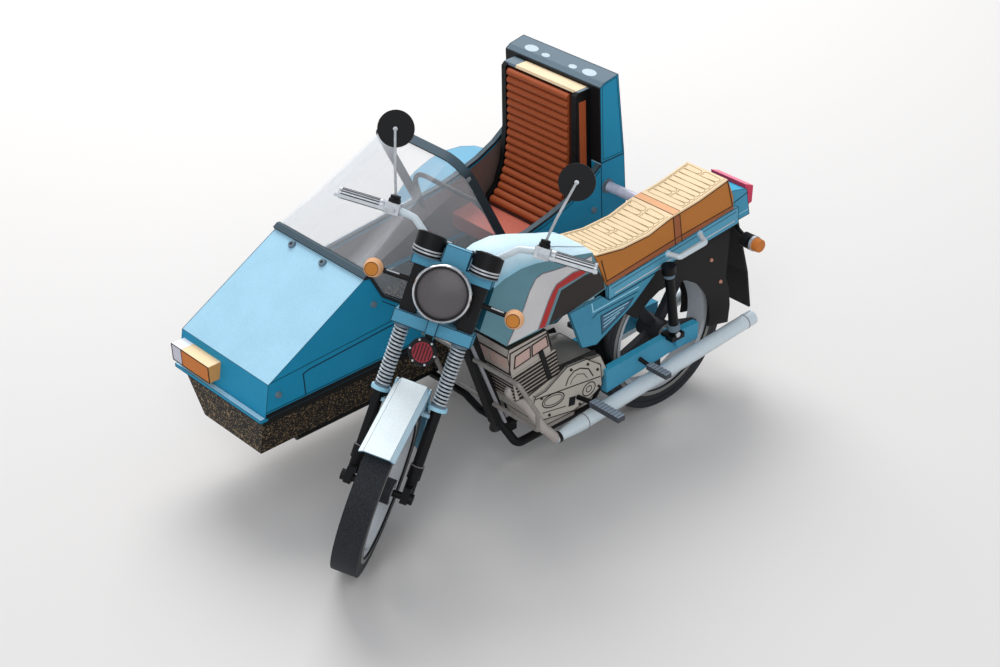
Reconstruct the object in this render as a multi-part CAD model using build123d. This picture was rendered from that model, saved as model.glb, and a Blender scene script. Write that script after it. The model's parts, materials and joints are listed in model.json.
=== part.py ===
from build123d import *
import os
from math import atan2, cos, degrees, radians, sin, sqrt, tan

# Card model of a motorcycle with a sidecar, in millimetres.
# +X is the rider's left, -Y is forwards, +Z is up. While it is drawn, the ground is z = 0,
# x = 0 is the motorcycle's own centre plane and y = 0 lies near the middle of the wheelbase.

# ---- wheels -------------------------------------------------------------------------------
FRONT_AXLE_Y = -66.75
WHEELBASE = 131.5
WHEEL_R = 28.8
TYRE_W = 8.4
TYRE_DEPTH = 6.2
SIDE_WHEEL_R = 28.0
SIDE_WHEEL_X = -97.0
SIDE_WHEEL_LEAD = 6.0
RIM_GAP = 0.02
RIM_DEPTH = 2.2
RIM_INSET = 0.5
HUB_R = 4.2
HUB_END = 0.9
SPOKES = 5
SPOKE_W = 3.4
SPOKE_T = 2.4
AXLE_R = 1.2
RUNNING = 0.06

# ---- steering -----------------------------------------------------------------------------
RAKE = 28.6
STEER_Y = -70.3
STEER_TURN = 37.5
LEG_AHEAD = 6.9
LEG_X = 9.5
AXLE_AHEAD = 10.8
AXLE_UP = 27.2
YOKE_HALF = 13.0
YOKE_FRONT = 11.0
YOKE_BACK = 3.4
LOWER_YOKE = (79.0, 83.0)
UPPER_YOKE = (98.5, 101.6)
STEM_R = 1.8
HEAD_WALL = 1.4
HEAD_GAP = 0.6
LEG_R = 1.45
SLIDER_R = 1.8
SLIDER_FOOT = 28.0
SLIDER_TOP = 56.5
COLLAR_R = 2.1
COLLAR_SPAN = (32.8, 37.3)
FLANGE_R = 3.1
FLANGE_T = 0.8
SPRING_R = 2.4
SPRING_WIRE = 0.5
SPRING_COILS = 12

# ---- sidecar body -------------------------------------------------------------------------
BODY_IN = -36.0
BODY_W = 49.0
CARD = 1.0
SILL_Z = 39.0
HULL_DEPTH = 18.5
HULL_TAPER = 7.0
FILM = 0.5

BODY_OUT = BODY_IN - BODY_W
REAR_AXLE_Y = FRONT_AXLE_Y + WHEELBASE
SIDE_AXLE_Y = REAR_AXLE_Y - SIDE_WHEEL_LEAD
HALF_TYRE = TYRE_W / 2
SR, CR = sin(radians(RAKE)), cos(radians(RAKE))


def turned_low_point():
    """How far the turned front tyre would reach below the ground before the fork is lifted."""
    turn = radians(STEER_TURN)
    lean = abs(sin(turn) * SR)
    hub_z = AXLE_UP * CR + AXLE_AHEAD * cos(turn) * SR
    return hub_z - WHEEL_R * sqrt(1 - lean**2) - HALF_TYRE * lean


FORK_LIFT = -turned_low_point()
HEAD = Plane(origin=(0, STEER_Y, FORK_LIFT), x_dir=(1, 0, 0), z_dir=(0, SR, CR))


# ---- helpers ------------------------------------------------------------------------------
def block(x, y, z):
    """A box from three (low, high) spans."""
    size = Box(x[1] - x[0], y[1] - y[0], z[1] - z[0])
    return Pos((x[0] + x[1]) / 2, (y[0] + y[1]) / 2, (z[0] + z[1]) / 2) * size


def side_plate(outline, x):
    """A side-view outline of (y, z) points, as thick as the x span."""
    face = make_face(Polyline(*[(x[0], y, z) for y, z in outline], close=True))
    return extrude(face, amount=x[1] - x[0], dir=(1, 0, 0))


def bar(start, end, radius):
    """A round bar between two points."""
    a, b = Vector(*start), Vector(*end)
    return Plane(origin=a, z_dir=b - a) * Cylinder(
        radius, (b - a).length, align=(Align.CENTER, Align.CENTER, Align.MIN)
    )


def bent_tube(points, radius, bend):
    """A round tube along straight runs with rounded bends."""
    path = FilletPolyline(*points, radius=bend)
    start = Plane(origin=path @ 0, z_dir=path % 0)
    return sweep(start * Circle(radius), path=path)


def other_side(shape):
    """The same piece on the other side of the motorcycle."""
    return mirror(shape, about=Plane.YZ)


def lateral_disc(centre, radius, width):
    """A disc whose axis runs across the vehicle."""
    return Pos(*centre) * Rot(0, 90, 0) * Cylinder(radius, width)


def ribbon(points, below, above):
    """A closed outline that follows a line of (y, z) points at a distance below and above it."""
    upper, lower = [], []
    for i, (y, z) in enumerate(points):
        ahead = points[min(i + 1, len(points) - 1)]
        behind = points[max(i - 1, 0)]
        run = Vector(ahead[0] - behind[0], ahead[1] - behind[1]).normalized()
        upper.append((y - run.Y * above, z + run.X * above))
        lower.append((y + run.Y * below, z - run.X * below))
    return upper + lower[::-1]


def on_fork(shape):
    """Fork pieces are drawn upright, x across, -y ahead and z up the steering axis."""
    return HEAD.location * (Rot(0, 0, STEER_TURN) * shape)


def fork_pair(shape):
    """A fork piece and its twin on the other leg, turned with the fork."""
    return on_fork(shape) + on_fork(other_side(shape))


NODES = {}


def keep(name, shape):
    NODES[name] = shape


# ---- wheels -------------------------------------------------------------------------------
def wheel(name, radius, place):
    """A flat-treaded tyre, a barrel rim and a spoked hub with a bore for the axle."""
    lie = Rot(0, 90, 0)
    bead = radius - TYRE_DEPTH
    tyre = Cylinder(radius, TYRE_W) - Cylinder(bead, TYRE_W)
    rim_w = TYRE_W - 2 * RIM_INSET
    rim_out = bead - RIM_GAP
    rim_in = rim_out - RIM_DEPTH
    rim = Cylinder(rim_out, rim_w) - Cylinder(rim_in, rim_w)
    reach = rim_in - RIM_GAP
    bore = Cylinder(AXLE_R + RUNNING, TYRE_W + 2 * HUB_END)
    hub = Cylinder(HUB_R, TYRE_W + 2 * HUB_END)
    for i in range(SPOKES):
        spoke = Pos(reach / 2, 0, 0) * Box(reach, SPOKE_W, SPOKE_T)
        hub += Rot(0, 0, i * 360 / SPOKES) * spoke
    hub = (hub & Cylinder(reach, TYRE_W + 2 * HUB_END)) - bore
    keep(name + "_tyre", place(lie * tyre))
    keep(name + "_rim", place(lie * rim))
    keep(name + "_hub", place(lie * hub))


def in_fork(shape):
    return on_fork(Pos(0, -AXLE_AHEAD, AXLE_UP) * shape)


def in_swingarm(shape):
    return Pos(0, REAR_AXLE_Y, WHEEL_R) * shape


def in_sidecar(shape):
    return Pos(SIDE_WHEEL_X, SIDE_AXLE_Y, SIDE_WHEEL_R) * shape


wheel("front", WHEEL_R, in_fork)
wheel("rear", WHEEL_R, in_swingarm)
wheel("sidecar_wheel", SIDE_WHEEL_R, in_sidecar)


# ---- fork, in its own upright frame --------------------------------------------------------
def upright(x, ahead, z, radius):
    """A round piece along the fork leg, between two heights."""
    return Pos(x, -ahead, z[0]) * Cylinder(
        radius, z[1] - z[0], align=(Align.CENTER, Align.CENTER, Align.MIN)
    )


def leg(z, radius):
    return upright(LEG_X, LEG_AHEAD, z, radius)


def yoke(z):
    """A cross bar over both legs with a tongue back to the stem, bored for legs and stem."""
    whole = block((-YOKE_HALF, YOKE_HALF), (-YOKE_FRONT, -YOKE_BACK), z)
    whole += block((-4.2, 4.2), (-YOKE_BACK, STEM_R + 1.6), z)
    whole -= upright(0, 0, z, STEM_R)
    for side in (-LEG_X, LEG_X):
        whole -= upright(side, LEG_AHEAD, z, LEG_R)
    return whole


HORN_R = 4.6
HORN_AT = (14.2, 73.8)
LAMP_R = 9.2
LAMP_UP = 93.4
LAMP_FRONT = 17.6
LAMP_BACK = 9.6
EAR_X = (6.9, 12.1)
EAR_AHEAD = (4.0, 9.4)
EAR_GAP = 0.2
CUP_R = 3.9
CUP_X = 9.4
CUP_AHEAD = 8.8
CUP_H = 9.0
PANEL_TOP = 107.4
BAR_R = 1.15
BAR_TILT = 3.5
BAR_AT = (1.0, 104.2)
GRIP_UP = 112.3
GRIP_X = (27.0, 42.0)
GRIP_R = 1.7
GRIP_AHEAD = 2.2
MIRROR_R = 5.8
MIRROR_AT = (29.0, -8.0, 137.0)
WIRE_R = 0.4

lower_yoke = yoke(LOWER_YOKE) + upright(0, 0, (LOWER_YOKE[0], UPPER_YOKE[1]), STEM_R)
lower_yoke += block((-1.6, 1.6), (-YOKE_FRONT - 0.8, -YOKE_FRONT), (77.6, 83.6))
keep("lower_yoke", on_fork(lower_yoke))
panel = block((-4.1, 4.1), (-YOKE_FRONT, -YOKE_FRONT + 3.6), (UPPER_YOKE[1], PANEL_TOP))
keep("upper_yoke", on_fork(yoke(UPPER_YOKE) + panel))

slider = leg((SLIDER_FOOT, SLIDER_TOP), SLIDER_R) + leg(COLLAR_SPAN, COLLAR_R)
lug = block((LEG_X - 1.2, LEG_X + 1.2), (-AXLE_AHEAD - 1.9, -LEG_AHEAD), (AXLE_UP - 1.9, AXLE_UP + 3.4))
slider += lug
slider += leg((SLIDER_TOP, UPPER_YOKE[1]), LEG_R)
slider -= lateral_disc((LEG_X, -AXLE_AHEAD, AXLE_UP), AXLE_R, 4)
keep("fork_legs", fork_pair(slider))

spring_z = (SLIDER_TOP + FLANGE_T, LOWER_YOKE[0])
flange = leg((SLIDER_TOP, spring_z[0]), FLANGE_R) - leg((SLIDER_TOP, spring_z[0]), LEG_R)


def spring():
    """A close-wound spring as one turned sleeve with a ridge for each coil."""
    pitch = (spring_z[1] - spring_z[0]) / SPRING_COILS
    crest, root = SPRING_R, SPRING_R - SPRING_WIRE
    outline = [(LEG_R, spring_z[0]), (root, spring_z[0])]
    for i in range(SPRING_COILS):
        z = spring_z[0] + i * pitch
        outline += [(crest, z + pitch / 2), (root, z + pitch)]
    outline += [(LEG_R, spring_z[1])]
    face = make_face(Polyline(*[(x, 0, z) for x, z in outline], close=True))
    return Pos(LEG_X, -LEG_AHEAD, 0) * revolve(face, axis=Axis.Z)


keep("fork_springs", fork_pair(flange + spring()))

axle_end = LEG_X + 1.2
axle = lateral_disc((0, -AXLE_AHEAD, AXLE_UP), AXLE_R, 2 * axle_end)
for side in (-1, 1):
    axle += lateral_disc((side * (axle_end + 0.7), -AXLE_AHEAD, AXLE_UP), 1.8, 1.4)
keep("front_axle", on_fork(axle))

# Front mudguard: flat facets of card over the wheel, each side folded outwards and down.
MUDGUARD_FLAT = 4.3
MUDGUARD_FLARE = 1.6
MUDGUARD_DROP = 2.0
MUDGUARD_T = 0.6
STAY_Z = (53.0, 61.6)
MUDGUARD_FOLDS = ((-31.0, 35.4), (35.0, 35.2), (72.0, 33.4), (104.0, 33.4))  # angle back, reach


def mudguard_section(angle, reach):
    """The folded strip's cross-section where it stands at an angle behind the vertical."""
    a = radians(angle)
    out, wide = MUDGUARD_FLAT, MUDGUARD_FLAT + MUDGUARD_FLARE
    top, low, t = reach, reach - MUDGUARD_DROP, MUDGUARD_T
    outline = [(-wide, low), (-out, top), (out, top), (wide, low)]
    outline += [(wide - t * 0.4, low - t), (out - t * 0.4, top - t)]
    outline += [(-out + t * 0.4, top - t), (-wide + t * 0.4, low - t)]
    points = [(x, r * sin(a), r * cos(a)) for x, r in outline]
    return make_face(Polyline(*points, close=True))


facets = [mudguard_section(a - RAKE, r) for a, r in MUDGUARD_FOLDS]
guard = Pos(0, -AXLE_AHEAD, AXLE_UP) * loft(facets, ruled=True)
strap_x = MUDGUARD_FLAT + MUDGUARD_FLARE
stay = block((strap_x - 0.7, strap_x), (-LEG_AHEAD - 1.2, -LEG_AHEAD + 1.2), STAY_Z)
stay += block((strap_x - 0.7, LEG_X), (-LEG_AHEAD - 1.2, -LEG_AHEAD + 1.2), (STAY_Z[0], STAY_Z[0] + 1.2))
stay -= leg((STAY_Z[0] - 1, SLIDER_TOP), SLIDER_R)
keep("front_mudguard", on_fork(guard + stay + other_side(stay)))


def lamp_turn(profile):
    """A piece turned about the headlamp's axis from (radius, ahead) points."""
    face = make_face(Polyline(*[(r, -ahead, LAMP_UP) for r, ahead in profile], close=True))
    return revolve(face, axis=Axis((0, 0, LAMP_UP), (0, 1, 0)))


ring_back = LAMP_FRONT - 2.4
shell = [(0, LAMP_BACK), (4.6, LAMP_BACK + 0.4), (6.6, LAMP_BACK + 2.4), (8.2, ring_back), (0, ring_back)]
ring = [(7.4, ring_back), (LAMP_R - 0.4, ring_back), (LAMP_R, LAMP_FRONT - 1.2), (8.2, LAMP_FRONT), (7.4, LAMP_FRONT - 0.6)]
keep("headlamp_ring", on_fork(lamp_turn(ring)))
lens = [(0, ring_back), (7.4, ring_back), (7.4, LAMP_FRONT - 0.9), (4.0, LAMP_FRONT - 0.4), (0, LAMP_FRONT - 0.2)]
keep("headlamp_lens", on_fork(lamp_turn(lens)))

ear_z = (LOWER_YOKE[1] + EAR_GAP, UPPER_YOKE[0] - EAR_GAP)
ear = block(EAR_X, (-EAR_AHEAD[1], -EAR_AHEAD[0]), ear_z) - leg(ear_z, LEG_R)
ear += block((EAR_X[0] - 2.2, EAR_X[1] - 3), (-EAR_AHEAD[1] - 2.6, -EAR_AHEAD[1]), (88, 95))
bowl = lamp_turn(shell)

cup = upright(CUP_X, CUP_AHEAD, (UPPER_YOKE[1], UPPER_YOKE[1] + CUP_H), CUP_R)
dial = upright(CUP_X, CUP_AHEAD, (UPPER_YOKE[1] + CUP_H - 0.5, UPPER_YOKE[1] + CUP_H), CUP_R - 0.6)
keep("instrument_cups", fork_pair(cup - dial))



def on_bar(shape):
    """The handlebar and all it carries sit a few degrees askew in the clamps."""
    return on_fork(Pos(0, 0, BAR_AT[1]) * Rot(0, -BAR_TILT, 0) * Pos(0, 0, -BAR_AT[1]) * shape)


def bar_pair(shape):
    """A handlebar piece and its twin at the other end."""
    return on_bar(shape) + on_bar(other_side(shape))


half_bar = [
    (0, -BAR_AT[0], BAR_AT[1]),
    (9.0, -BAR_AT[0], BAR_AT[1]),
    (17.0, -BAR_AT[0], GRIP_UP - 1.2),
    (23.0, -GRIP_AHEAD, GRIP_UP),
    (GRIP_X[1] - 0.5, -GRIP_AHEAD, GRIP_UP),
]
whole_bar = [(-x, y, z) for x, y, z in half_bar[:0:-1]] + half_bar[1:]
handlebar = bent_tube(whole_bar, BAR_R, 3.0)
clamp = block((3.0, 6.0), (-BAR_AT[0] - 1.9, -BAR_AT[0] + 1.9), (UPPER_YOKE[1], BAR_AT[1] + 1.9))
clamp -= cup + panel
keep("handlebar", on_bar(handlebar) + fork_pair(clamp))

grip_y = -GRIP_AHEAD
grip = lateral_disc(((GRIP_X[0] + GRIP_X[1]) / 2, grip_y, GRIP_UP), GRIP_R, GRIP_X[1] - GRIP_X[0])
keep("grips", bar_pair(grip - handlebar))
perch = block((22.4, 26.4), (grip_y - 2.0, grip_y + 1.8), (GRIP_UP - 1.8, GRIP_UP + 1.8)) - handlebar
lever = Polyline((23.2, -2.0), (26.2, -2.0), (27.8, -3.2), (42.6, -3.2), (42.6, -4.4), (27.0, -4.4), (23.2, -3.4), close=True)
lever = Pos(0, grip_y, GRIP_UP - 0.9) * extrude(make_face(lever), amount=0.9)
keep("levers", bar_pair(perch + lever))

NUT_R = 1.8
NUT_X = 24.4
nut_top = GRIP_UP + 1.8 + 2.4
nut = upright(NUT_X, -grip_y, (GRIP_UP + 1.8, nut_top), NUT_R)
stalk_top = (MIRROR_AT[0], MIRROR_AT[1] + 1.0, MIRROR_AT[2])
stalk = bent_tube([(NUT_X, grip_y, nut_top), (NUT_X + 0.4, grip_y, nut_top + 8), stalk_top], WIRE_R, 6)
keep("mirror_stalks", bar_pair(nut + stalk))
disc = Pos(*MIRROR_AT) * Rot(90, 0, 0) * Cylinder(MIRROR_R, 0.8)
keep("mirrors", bar_pair(disc - stalk))

# Direction indicators: a stalk from each ear and a short cone facing forwards.
FLASHER_AT = (23.2, 12.8, 92.8)
FLASHER_R = (3.0, 2.4)
FLASHER_L = 3.6
arm = bar((EAR_X[1], -FLASHER_AT[1] + 4, FLASHER_AT[2]), (FLASHER_AT[0], -FLASHER_AT[1] + 2.4, FLASHER_AT[2]), 0.9)
cone = Pos(FLASHER_AT[0], -FLASHER_AT[1] - FLASHER_L / 2 + 1.4, FLASHER_AT[2]) * Rot(90, 0, 0) * Cone(*FLASHER_R, FLASHER_L)
ear = (ear + arm) - cone
bowl -= yoke(UPPER_YOKE)
keep("headlamp_shell", on_fork(bowl + ear + other_side(ear)))
keep("front_indicators", fork_pair(cone))

# Horn: a drum with a slotted front, on a strap below the lower yoke.
horn = Pos(0, -HORN_AT[0], HORN_AT[1]) * Rot(90, 0, 0) * Cylinder(HORN_R, 1.8)
horn += Pos(0, -HORN_AT[0] + 1.6, HORN_AT[1]) * Rot(90, 0, 0) * Cylinder(3.4, 1.6)
for k in range(5):
    slot = block((-2.5 + k * 1.0, -1.9 + k * 1.0), (-HORN_AT[0] - 1, -HORN_AT[0] - 0.5), (HORN_AT[1] - 2.2, HORN_AT[1] + 2.2))
    horn -= slot
strap = block((-1.5, 1.5), (-HORN_AT[0] + 2.4, -HORN_AT[0] + 3.2), (HORN_AT[1] - 1.5, 77.6))
keep("horn", on_fork(horn + strap))


# ---- motorcycle frame ----------------------------------------------------------------------
def head_point(ahead, up):
    """A (y, z) point on the centre plane, ahead of the steering axis and along it."""
    return (STEER_Y + up * SR - ahead * CR, FORK_LIFT + up * CR + ahead * SR)


SADDLE_X = 8.6
CRADLE_X = 6.0
CRADLE_Z = 16.5
TUBE_R = 1.5
BACKBONE_R = 1.8
DOWN_HALF = 2.0
BACKBONE_END = (31.0, 62.6)
PIVOT = (33.0, 27.0)
head_z = (LOWER_YOKE[1] + HEAD_GAP, UPPER_YOKE[0] - HEAD_GAP)
head_r = STEM_R + RUNNING + HEAD_WALL
head_core = HEAD.location * upright(0, 0, head_z, head_r)
head_bore = HEAD.location * upright(0, 0, head_z, STEM_R + RUNNING)
backbone = bar((0, *head_point(-1.0, 90.0)), (0, *BACKBONE_END), BACKBONE_R)
down = side_plate([(-27.2, 76.0), (-21.6, 76.0), (-6.4, 24.0), (-11.1, 24.0)], (-DOWN_HALF, DOWN_HALF))
frame = head_core + backbone + down
saddle_run = ((CRADLE_X, 31.5, 62.2), (SADDLE_X, 42.0, 62.8), (SADDLE_X, 88.0, 66.6))
for side in (-1, 1):
    cradle = [
        (side * 0.5, -9.0, 25.0),
        (side * CRADLE_X, -6.0, CRADLE_Z),
        (side * CRADLE_X, 27.0, CRADLE_Z),
        (side * CRADLE_X, 36.5, 30.0),
        (side * CRADLE_X, 31.5, 62.2),
    ]
    frame += bent_tube(cradle, TUBE_R, 3.0)
    frame += bent_tube([(side * x, y, z) for x, y, z in saddle_run], TUBE_R, 2.0)
for y, z in ((31.5, 62.4), (86.0, 66.4)):
    frame += bar((-SADDLE_X + 1, y, z), (SADDLE_X - 1, y, z), TUBE_R)
frame += bar((-CRADLE_X, *PIVOT), (CRADLE_X, *PIVOT), TUBE_R)
frame -= head_bore
keep("frame", frame)

# ---- engine ---------------------------------------------------------------------------------
HEAD_X = 13.6
CASE_X = 14.0
COVER_T = 1.6
SUMP_X = 9.5
FIN_X = 14.4
FIN_T = 0.5
FIN_COUNT = 7
CASE_OUTLINE = ((-7.0, 39.2), (6.0, 42.6), (25.6, 40.9), (28.6, 34.0), (20.2, 24.0), (0.0, 24.6), (-6.0, 30.0))
HEAD_OUTLINE = ((-14.8, 57.7), (-14.0, 60.2), (2.0, 60.8), (6.0, 42.6), (-7.0, 39.2), (-10.4, 41.6))
SUMP_OUTLINE = ((-0.6, 26.6), (19.6, 26.6), (17.0, 18.4), (3.0, 18.4))
MOUNTS = (((-13.5, -8.0), (44.0, 47.0)), ((24.0, 33.0), (28.0, 31.0)))

engine = side_plate(CASE_OUTLINE, (-CASE_X, CASE_X))
engine += side_plate(HEAD_OUTLINE, (-HEAD_X, HEAD_X))
engine += side_plate(SUMP_OUTLINE, (-SUMP_X, SUMP_X))
for y, z in MOUNTS:
    engine += block((-3.0, 3.0), y, z)
engine -= frame
keep("engine", engine)

fins = []
for k in range(FIN_COUNT):
    z = 45.4 + k * 1.75
    fins.append(((-11.3 - (z - 44) * 0.27, z), (5.8 - (z - 44) * 0.21, z + 0.9)))
cooling = Part() + [
    side_plate([front, rear, (rear[0], rear[1] + FIN_T), (front[0], front[1] + FIN_T)], (-FIN_X, FIN_X))
    for front, rear in fins
]
for side in (-1, 1):
    cooling += block(sorted((side * HEAD_X, side * FIN_X)), (-4.6, -3.2), (45.0, 58.0))
keep("cylinder_fins", cooling - engine - frame)

COVER_OUTLINE = ((-3.6, 37.4), (5.6, 40.6), (23.4, 39.0), (26.4, 34.0), (19.0, 26.2), (1.0, 26.4), (-4.0, 31.0))
cover = side_plate(COVER_OUTLINE, (CASE_X, CASE_X + COVER_T))
for y, z, radius, high in ((3.6, 33.4, 5.4, 0.7), (17.6, 33.0, 4.0, 0.6)):
    cover += lateral_disc((CASE_X + COVER_T + high / 2, y, z), radius, high)
keep("engine_covers", cover + other_side(cover))

# ---- tank -----------------------------------------------------------------------------------
TANK_X = 12.5
TANK_STATIONS = (  # y, underside, side fold, ridge
    (-24.5, 69.8, 70.3, 70.8),
    (-15.5, 62.0, 84.6, 88.5),
    (-8.0, 60.9, 85.1, 91.4),
    (3.5, 61.6, 85.7, 91.2),
    (12.0, 62.2, 86.2, 90.0),
    (20.0, 62.8, 82.8, 86.4),
    (25.0, 63.2, 79.0, 83.0),
    (30.6, 63.6, 64.4, 65.2),
)


def tank_section(y, low, fold, ridge):
    rise = ridge - fold
    half = [(TANK_X, low), (TANK_X, fold), (9.6, fold + rise * 0.62), (4.6, ridge)]
    points = [(x, y, z) for x, z in half] + [(-x, y, z) for x, z in half[::-1]]
    return make_face(Polyline(*points, close=True))


tank = loft([tank_section(*row) for row in TANK_STATIONS], ruled=True)
tunnel = side_plate([(-27, 60), (-27, 82.0), (34, 65.2), (34, 60)], (-2.6, 2.6))
tank -= tunnel + HEAD.location * upright(0, 0, (76, 104), head_r + 0.6)
keep("tank", tank - frame - engine)

# ---- seat, side panels and tail -------------------------------------------------------------
SEAT_X = 12.0
RAIL_X = 12.3
RAIL_T = 1.7
SEAT_OUTLINE = (
    (26.8, 78.0), (38.2, 76.4), (49.1, 76.6), (60.2, 78.8), (74.0, 81.8), (88.2, 83.1),
    (91.3, 75.7), (91.6, 70.6), (85.4, 70.0), (58.0, 67.2), (31.1, 64.6),
)
RAIL_OUTLINE = ((31.1, 64.5), (58.0, 67.1), (85.4, 69.9), (93.5, 70.6), (93.7, 64.3), (31.3, 59.4))
PANEL_OUTLINE = ((12.6, 60.4), (19.5, 46.0), (28.5, 43.4), (42.0, 53.0), (53.0, 61.0), (31.3, 59.3), (28.0, 61.6))
seat = side_plate(SEAT_OUTLINE, (-SEAT_X, SEAT_X))
keep("seat", seat)
rail = side_plate(RAIL_OUTLINE, (RAIL_X - RAIL_T, RAIL_X))
rail += block((-0.1, RAIL_X), (91.8, 93.6), (64.4, 70.5))

panel = side_plate(PANEL_OUTLINE, (11.4, 12.6))
panel += block((CRADLE_X + TUBE_R - 0.3, 11.4), (33.4, 35.6), (50.0, 51.6))
panel = panel - tank - engine - frame - rail - seat
keep("side_panels", panel + other_side(panel))

TAIL_X = 8.0
TAIL_OUTLINE = ((93.6, 75.0), (93.6, 64.4), (100.2, 65.0), (101.0, 74.0))
tail = side_plate(TAIL_OUTLINE, (-TAIL_X, TAIL_X)) + block((-TAIL_X, TAIL_X), (91.4, 93.6), (70.7, 75.0))
seat_rail = (rail + other_side(rail) + tail) - seat - frame
keep("seat_rail", seat_rail)
lamp = side_plate(((100.2, 65.4), (103.0, 66.0), (103.4, 72.6), (100.9, 73.6)), (-5.6, 5.6)) - seat_rail
keep("tail_lamp", lamp)

RAIL_TUBE_R = 0.75
handle = bent_tube([(RAIL_X, 60.6, 64.0), (16.0, 60.6, 63.4), (16.0, 76.1, 64.8), (RAIL_X, 76.1, 65.6)], RAIL_TUBE_R, 1.4)
keep("grab_rails", handle + other_side(handle) - seat_rail)

# ---- rear wheel, its arms and mudguard --------------------------------------------------------
ARM_X = (8.6, 11.4)
ARM_OUTLINE = ((30.4, 22.6), (60.0, 25.4), (74.5, 25.4), (75.0, 31.6), (61.0, 32.4), (30.4, 31.4))
NUT_X_SPAN = (ARM_X[1], ARM_X[1] + 1.2)
arm = side_plate(ARM_OUTLINE, ARM_X) + block((CRADLE_X + 1.0, ARM_X[0]), (31.0, 35.0), (25.0, 29.0))
arm -= frame
swing_arms = arm + other_side(arm)
spindle = lateral_disc((0, REAR_AXLE_Y, WHEEL_R), AXLE_R, 2 * ARM_X[1])
spacer_x = HALF_TYRE + HUB_END + 0.15
spindle_hat = lateral_disc((ARM_X[1] + 0.6, REAR_AXLE_Y, WHEEL_R), 2.2, 1.2)
sleeve = lateral_disc(((spacer_x + ARM_X[0]) / 2, REAR_AXLE_Y, WHEEL_R), 2.0, ARM_X[0] - spacer_x)
swing_arms += spindle + spindle_hat + other_side(spindle_hat) + sleeve + other_side(sleeve)
keep("swing_arms", swing_arms)

SHOCK_X = 12.7
SHOCK_TOP = (58.5, 61.4)
SHOCK_FOOT = (61.6, 33.4)
shock = bar((SHOCK_X, *SHOCK_FOOT), (SHOCK_X, *SHOCK_TOP), 1.7)
shock += bar((SHOCK_X, 58.8, 58.6), (SHOCK_X, *SHOCK_TOP), 2.5)
shock += block((ARM_X[0] + 0.6, SHOCK_X + 2.0), (58.6, 64.6), (31.6, 33.6))
shock = shock - swing_arms - rail
keep("rear_shocks", shock + other_side(shock))

GUARD_GAP = 2.0
GUARD_X = 7.0
GUARD_T = 0.6
FLAP_IN = 20.4
BOARD = ((50.0, 50.0), (58.0, 62.0), (80.0, 64.6), (93.6, 65.4), (95.0, 60.0), (93.0, 40.0), (70.0, 40.0))
guard_r = WHEEL_R + GUARD_GAP


def rear_sector(radius, low, high, x):
    """A slice of a disc about the rear axle; angles run up from straight behind."""
    steps = [low + (high - low) * k / 12 for k in range(13)]
    rim = [(REAR_AXLE_Y + radius * cos(radians(a)), WHEEL_R + radius * sin(radians(a))) for a in steps]
    return side_plate([(REAR_AXLE_Y, WHEEL_R)] + rim, x)


arch = rear_sector(guard_r, 24, 140, (-GUARD_X, GUARD_X)) - rear_sector(guard_r - GUARD_T, 20, 144, (-GUARD_X, GUARD_X))
skirt_x = (GUARD_X - GUARD_T, GUARD_X)
skirt = rear_sector(guard_r, -14, 140, skirt_x) - rear_sector(FLAP_IN, -18, 144, skirt_x)
arch += skirt + other_side(skirt)
board = side_plate(BOARD, skirt_x) - rear_sector(FLAP_IN, -30, 200, skirt_x)
arch += board + other_side(board)

FLAP_X = 7.0
flap = side_plate(((97.2, 64.8), (98.0, 64.8), (104.6, 38.0), (106.4, 23.0), (105.6, 23.0), (103.8, 38.0)), (-FLAP_X, FLAP_X))
flap += block((-FLAP_X, FLAP_X), (86.0, 97.6), (63.7, 64.5))

REAR_FLASHER = (96.0, 57.0)
stub = bar((FLAP_X - 1.5, 99.4, 57.6), (13.0, REAR_FLASHER[0] + 0.5, REAR_FLASHER[1]), 0.9)
body = lateral_disc((14.2, *REAR_FLASHER), 2.7, 3.0)
glow = lateral_disc((17.3, *REAR_FLASHER), 2.5, 3.2)
keep("rear_mudguard", (arch + flap + stub + body + other_side(stub + body)) - frame - seat_rail)
keep("rear_indicators", glow + other_side(glow))

# ---- exhaust, foot rests and crash bars -------------------------------------------------------
PIPE_R = 1.8
SILENCER = ((14.0, 4.5, 17.6), (14.4, 98.0, 24.6))
SILENCER_R = 2.6
JOINT_R = 2.2
JOINT_L = 4.5
down_pipe = bent_tube([(8.0, -7.0, 43.0), (8.0, -13.4, 42.4), (8.0, -11.4, 31.0), (10.0, -2.0, 19.4), SILENCER[0]], PIPE_R, 3.0)
tail_run = (Vector(*SILENCER[1]) - Vector(*SILENCER[0])).normalized()
joint_end = Vector(*SILENCER[0]) + tail_run * JOINT_L
joint = bar(Vector(*SILENCER[0]) - tail_run * 1.4, joint_end, JOINT_R)
silencer = (bar(joint_end, SILENCER[1], SILENCER_R) + joint) - engine
down_pipe = down_pipe - silencer - engine - frame - cooling
keep("exhaust_pipes", down_pipe + other_side(down_pipe))
keep("silencers", silencer + other_side(silencer))

PEG_FRONT = (15.0, 27.8)
PEG_REAR = (45.5, 30.6)
peg = block((16.2, 32.0), (PEG_FRONT[0] - 2.2, PEG_FRONT[0] + 2.2), (PEG_FRONT[1] - 0.9, PEG_FRONT[1] + 0.9))
peg += block((CASE_X - 0.5, 16.3), (PEG_FRONT[0] - 1.2, PEG_FRONT[0] + 1.2), (PEG_FRONT[1] - 0.9, PEG_FRONT[1] + 0.9))
rear_peg = block((ARM_X[1], 30.0), (PEG_REAR[0] - 2.4, PEG_REAR[0] + 2.4), (PEG_REAR[1] - 0.9, PEG_REAR[1] + 0.9))
pegs = (peg - cover - engine) + rear_peg
keep("foot_rests", pegs + other_side(pegs) - swing_arms)

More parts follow.
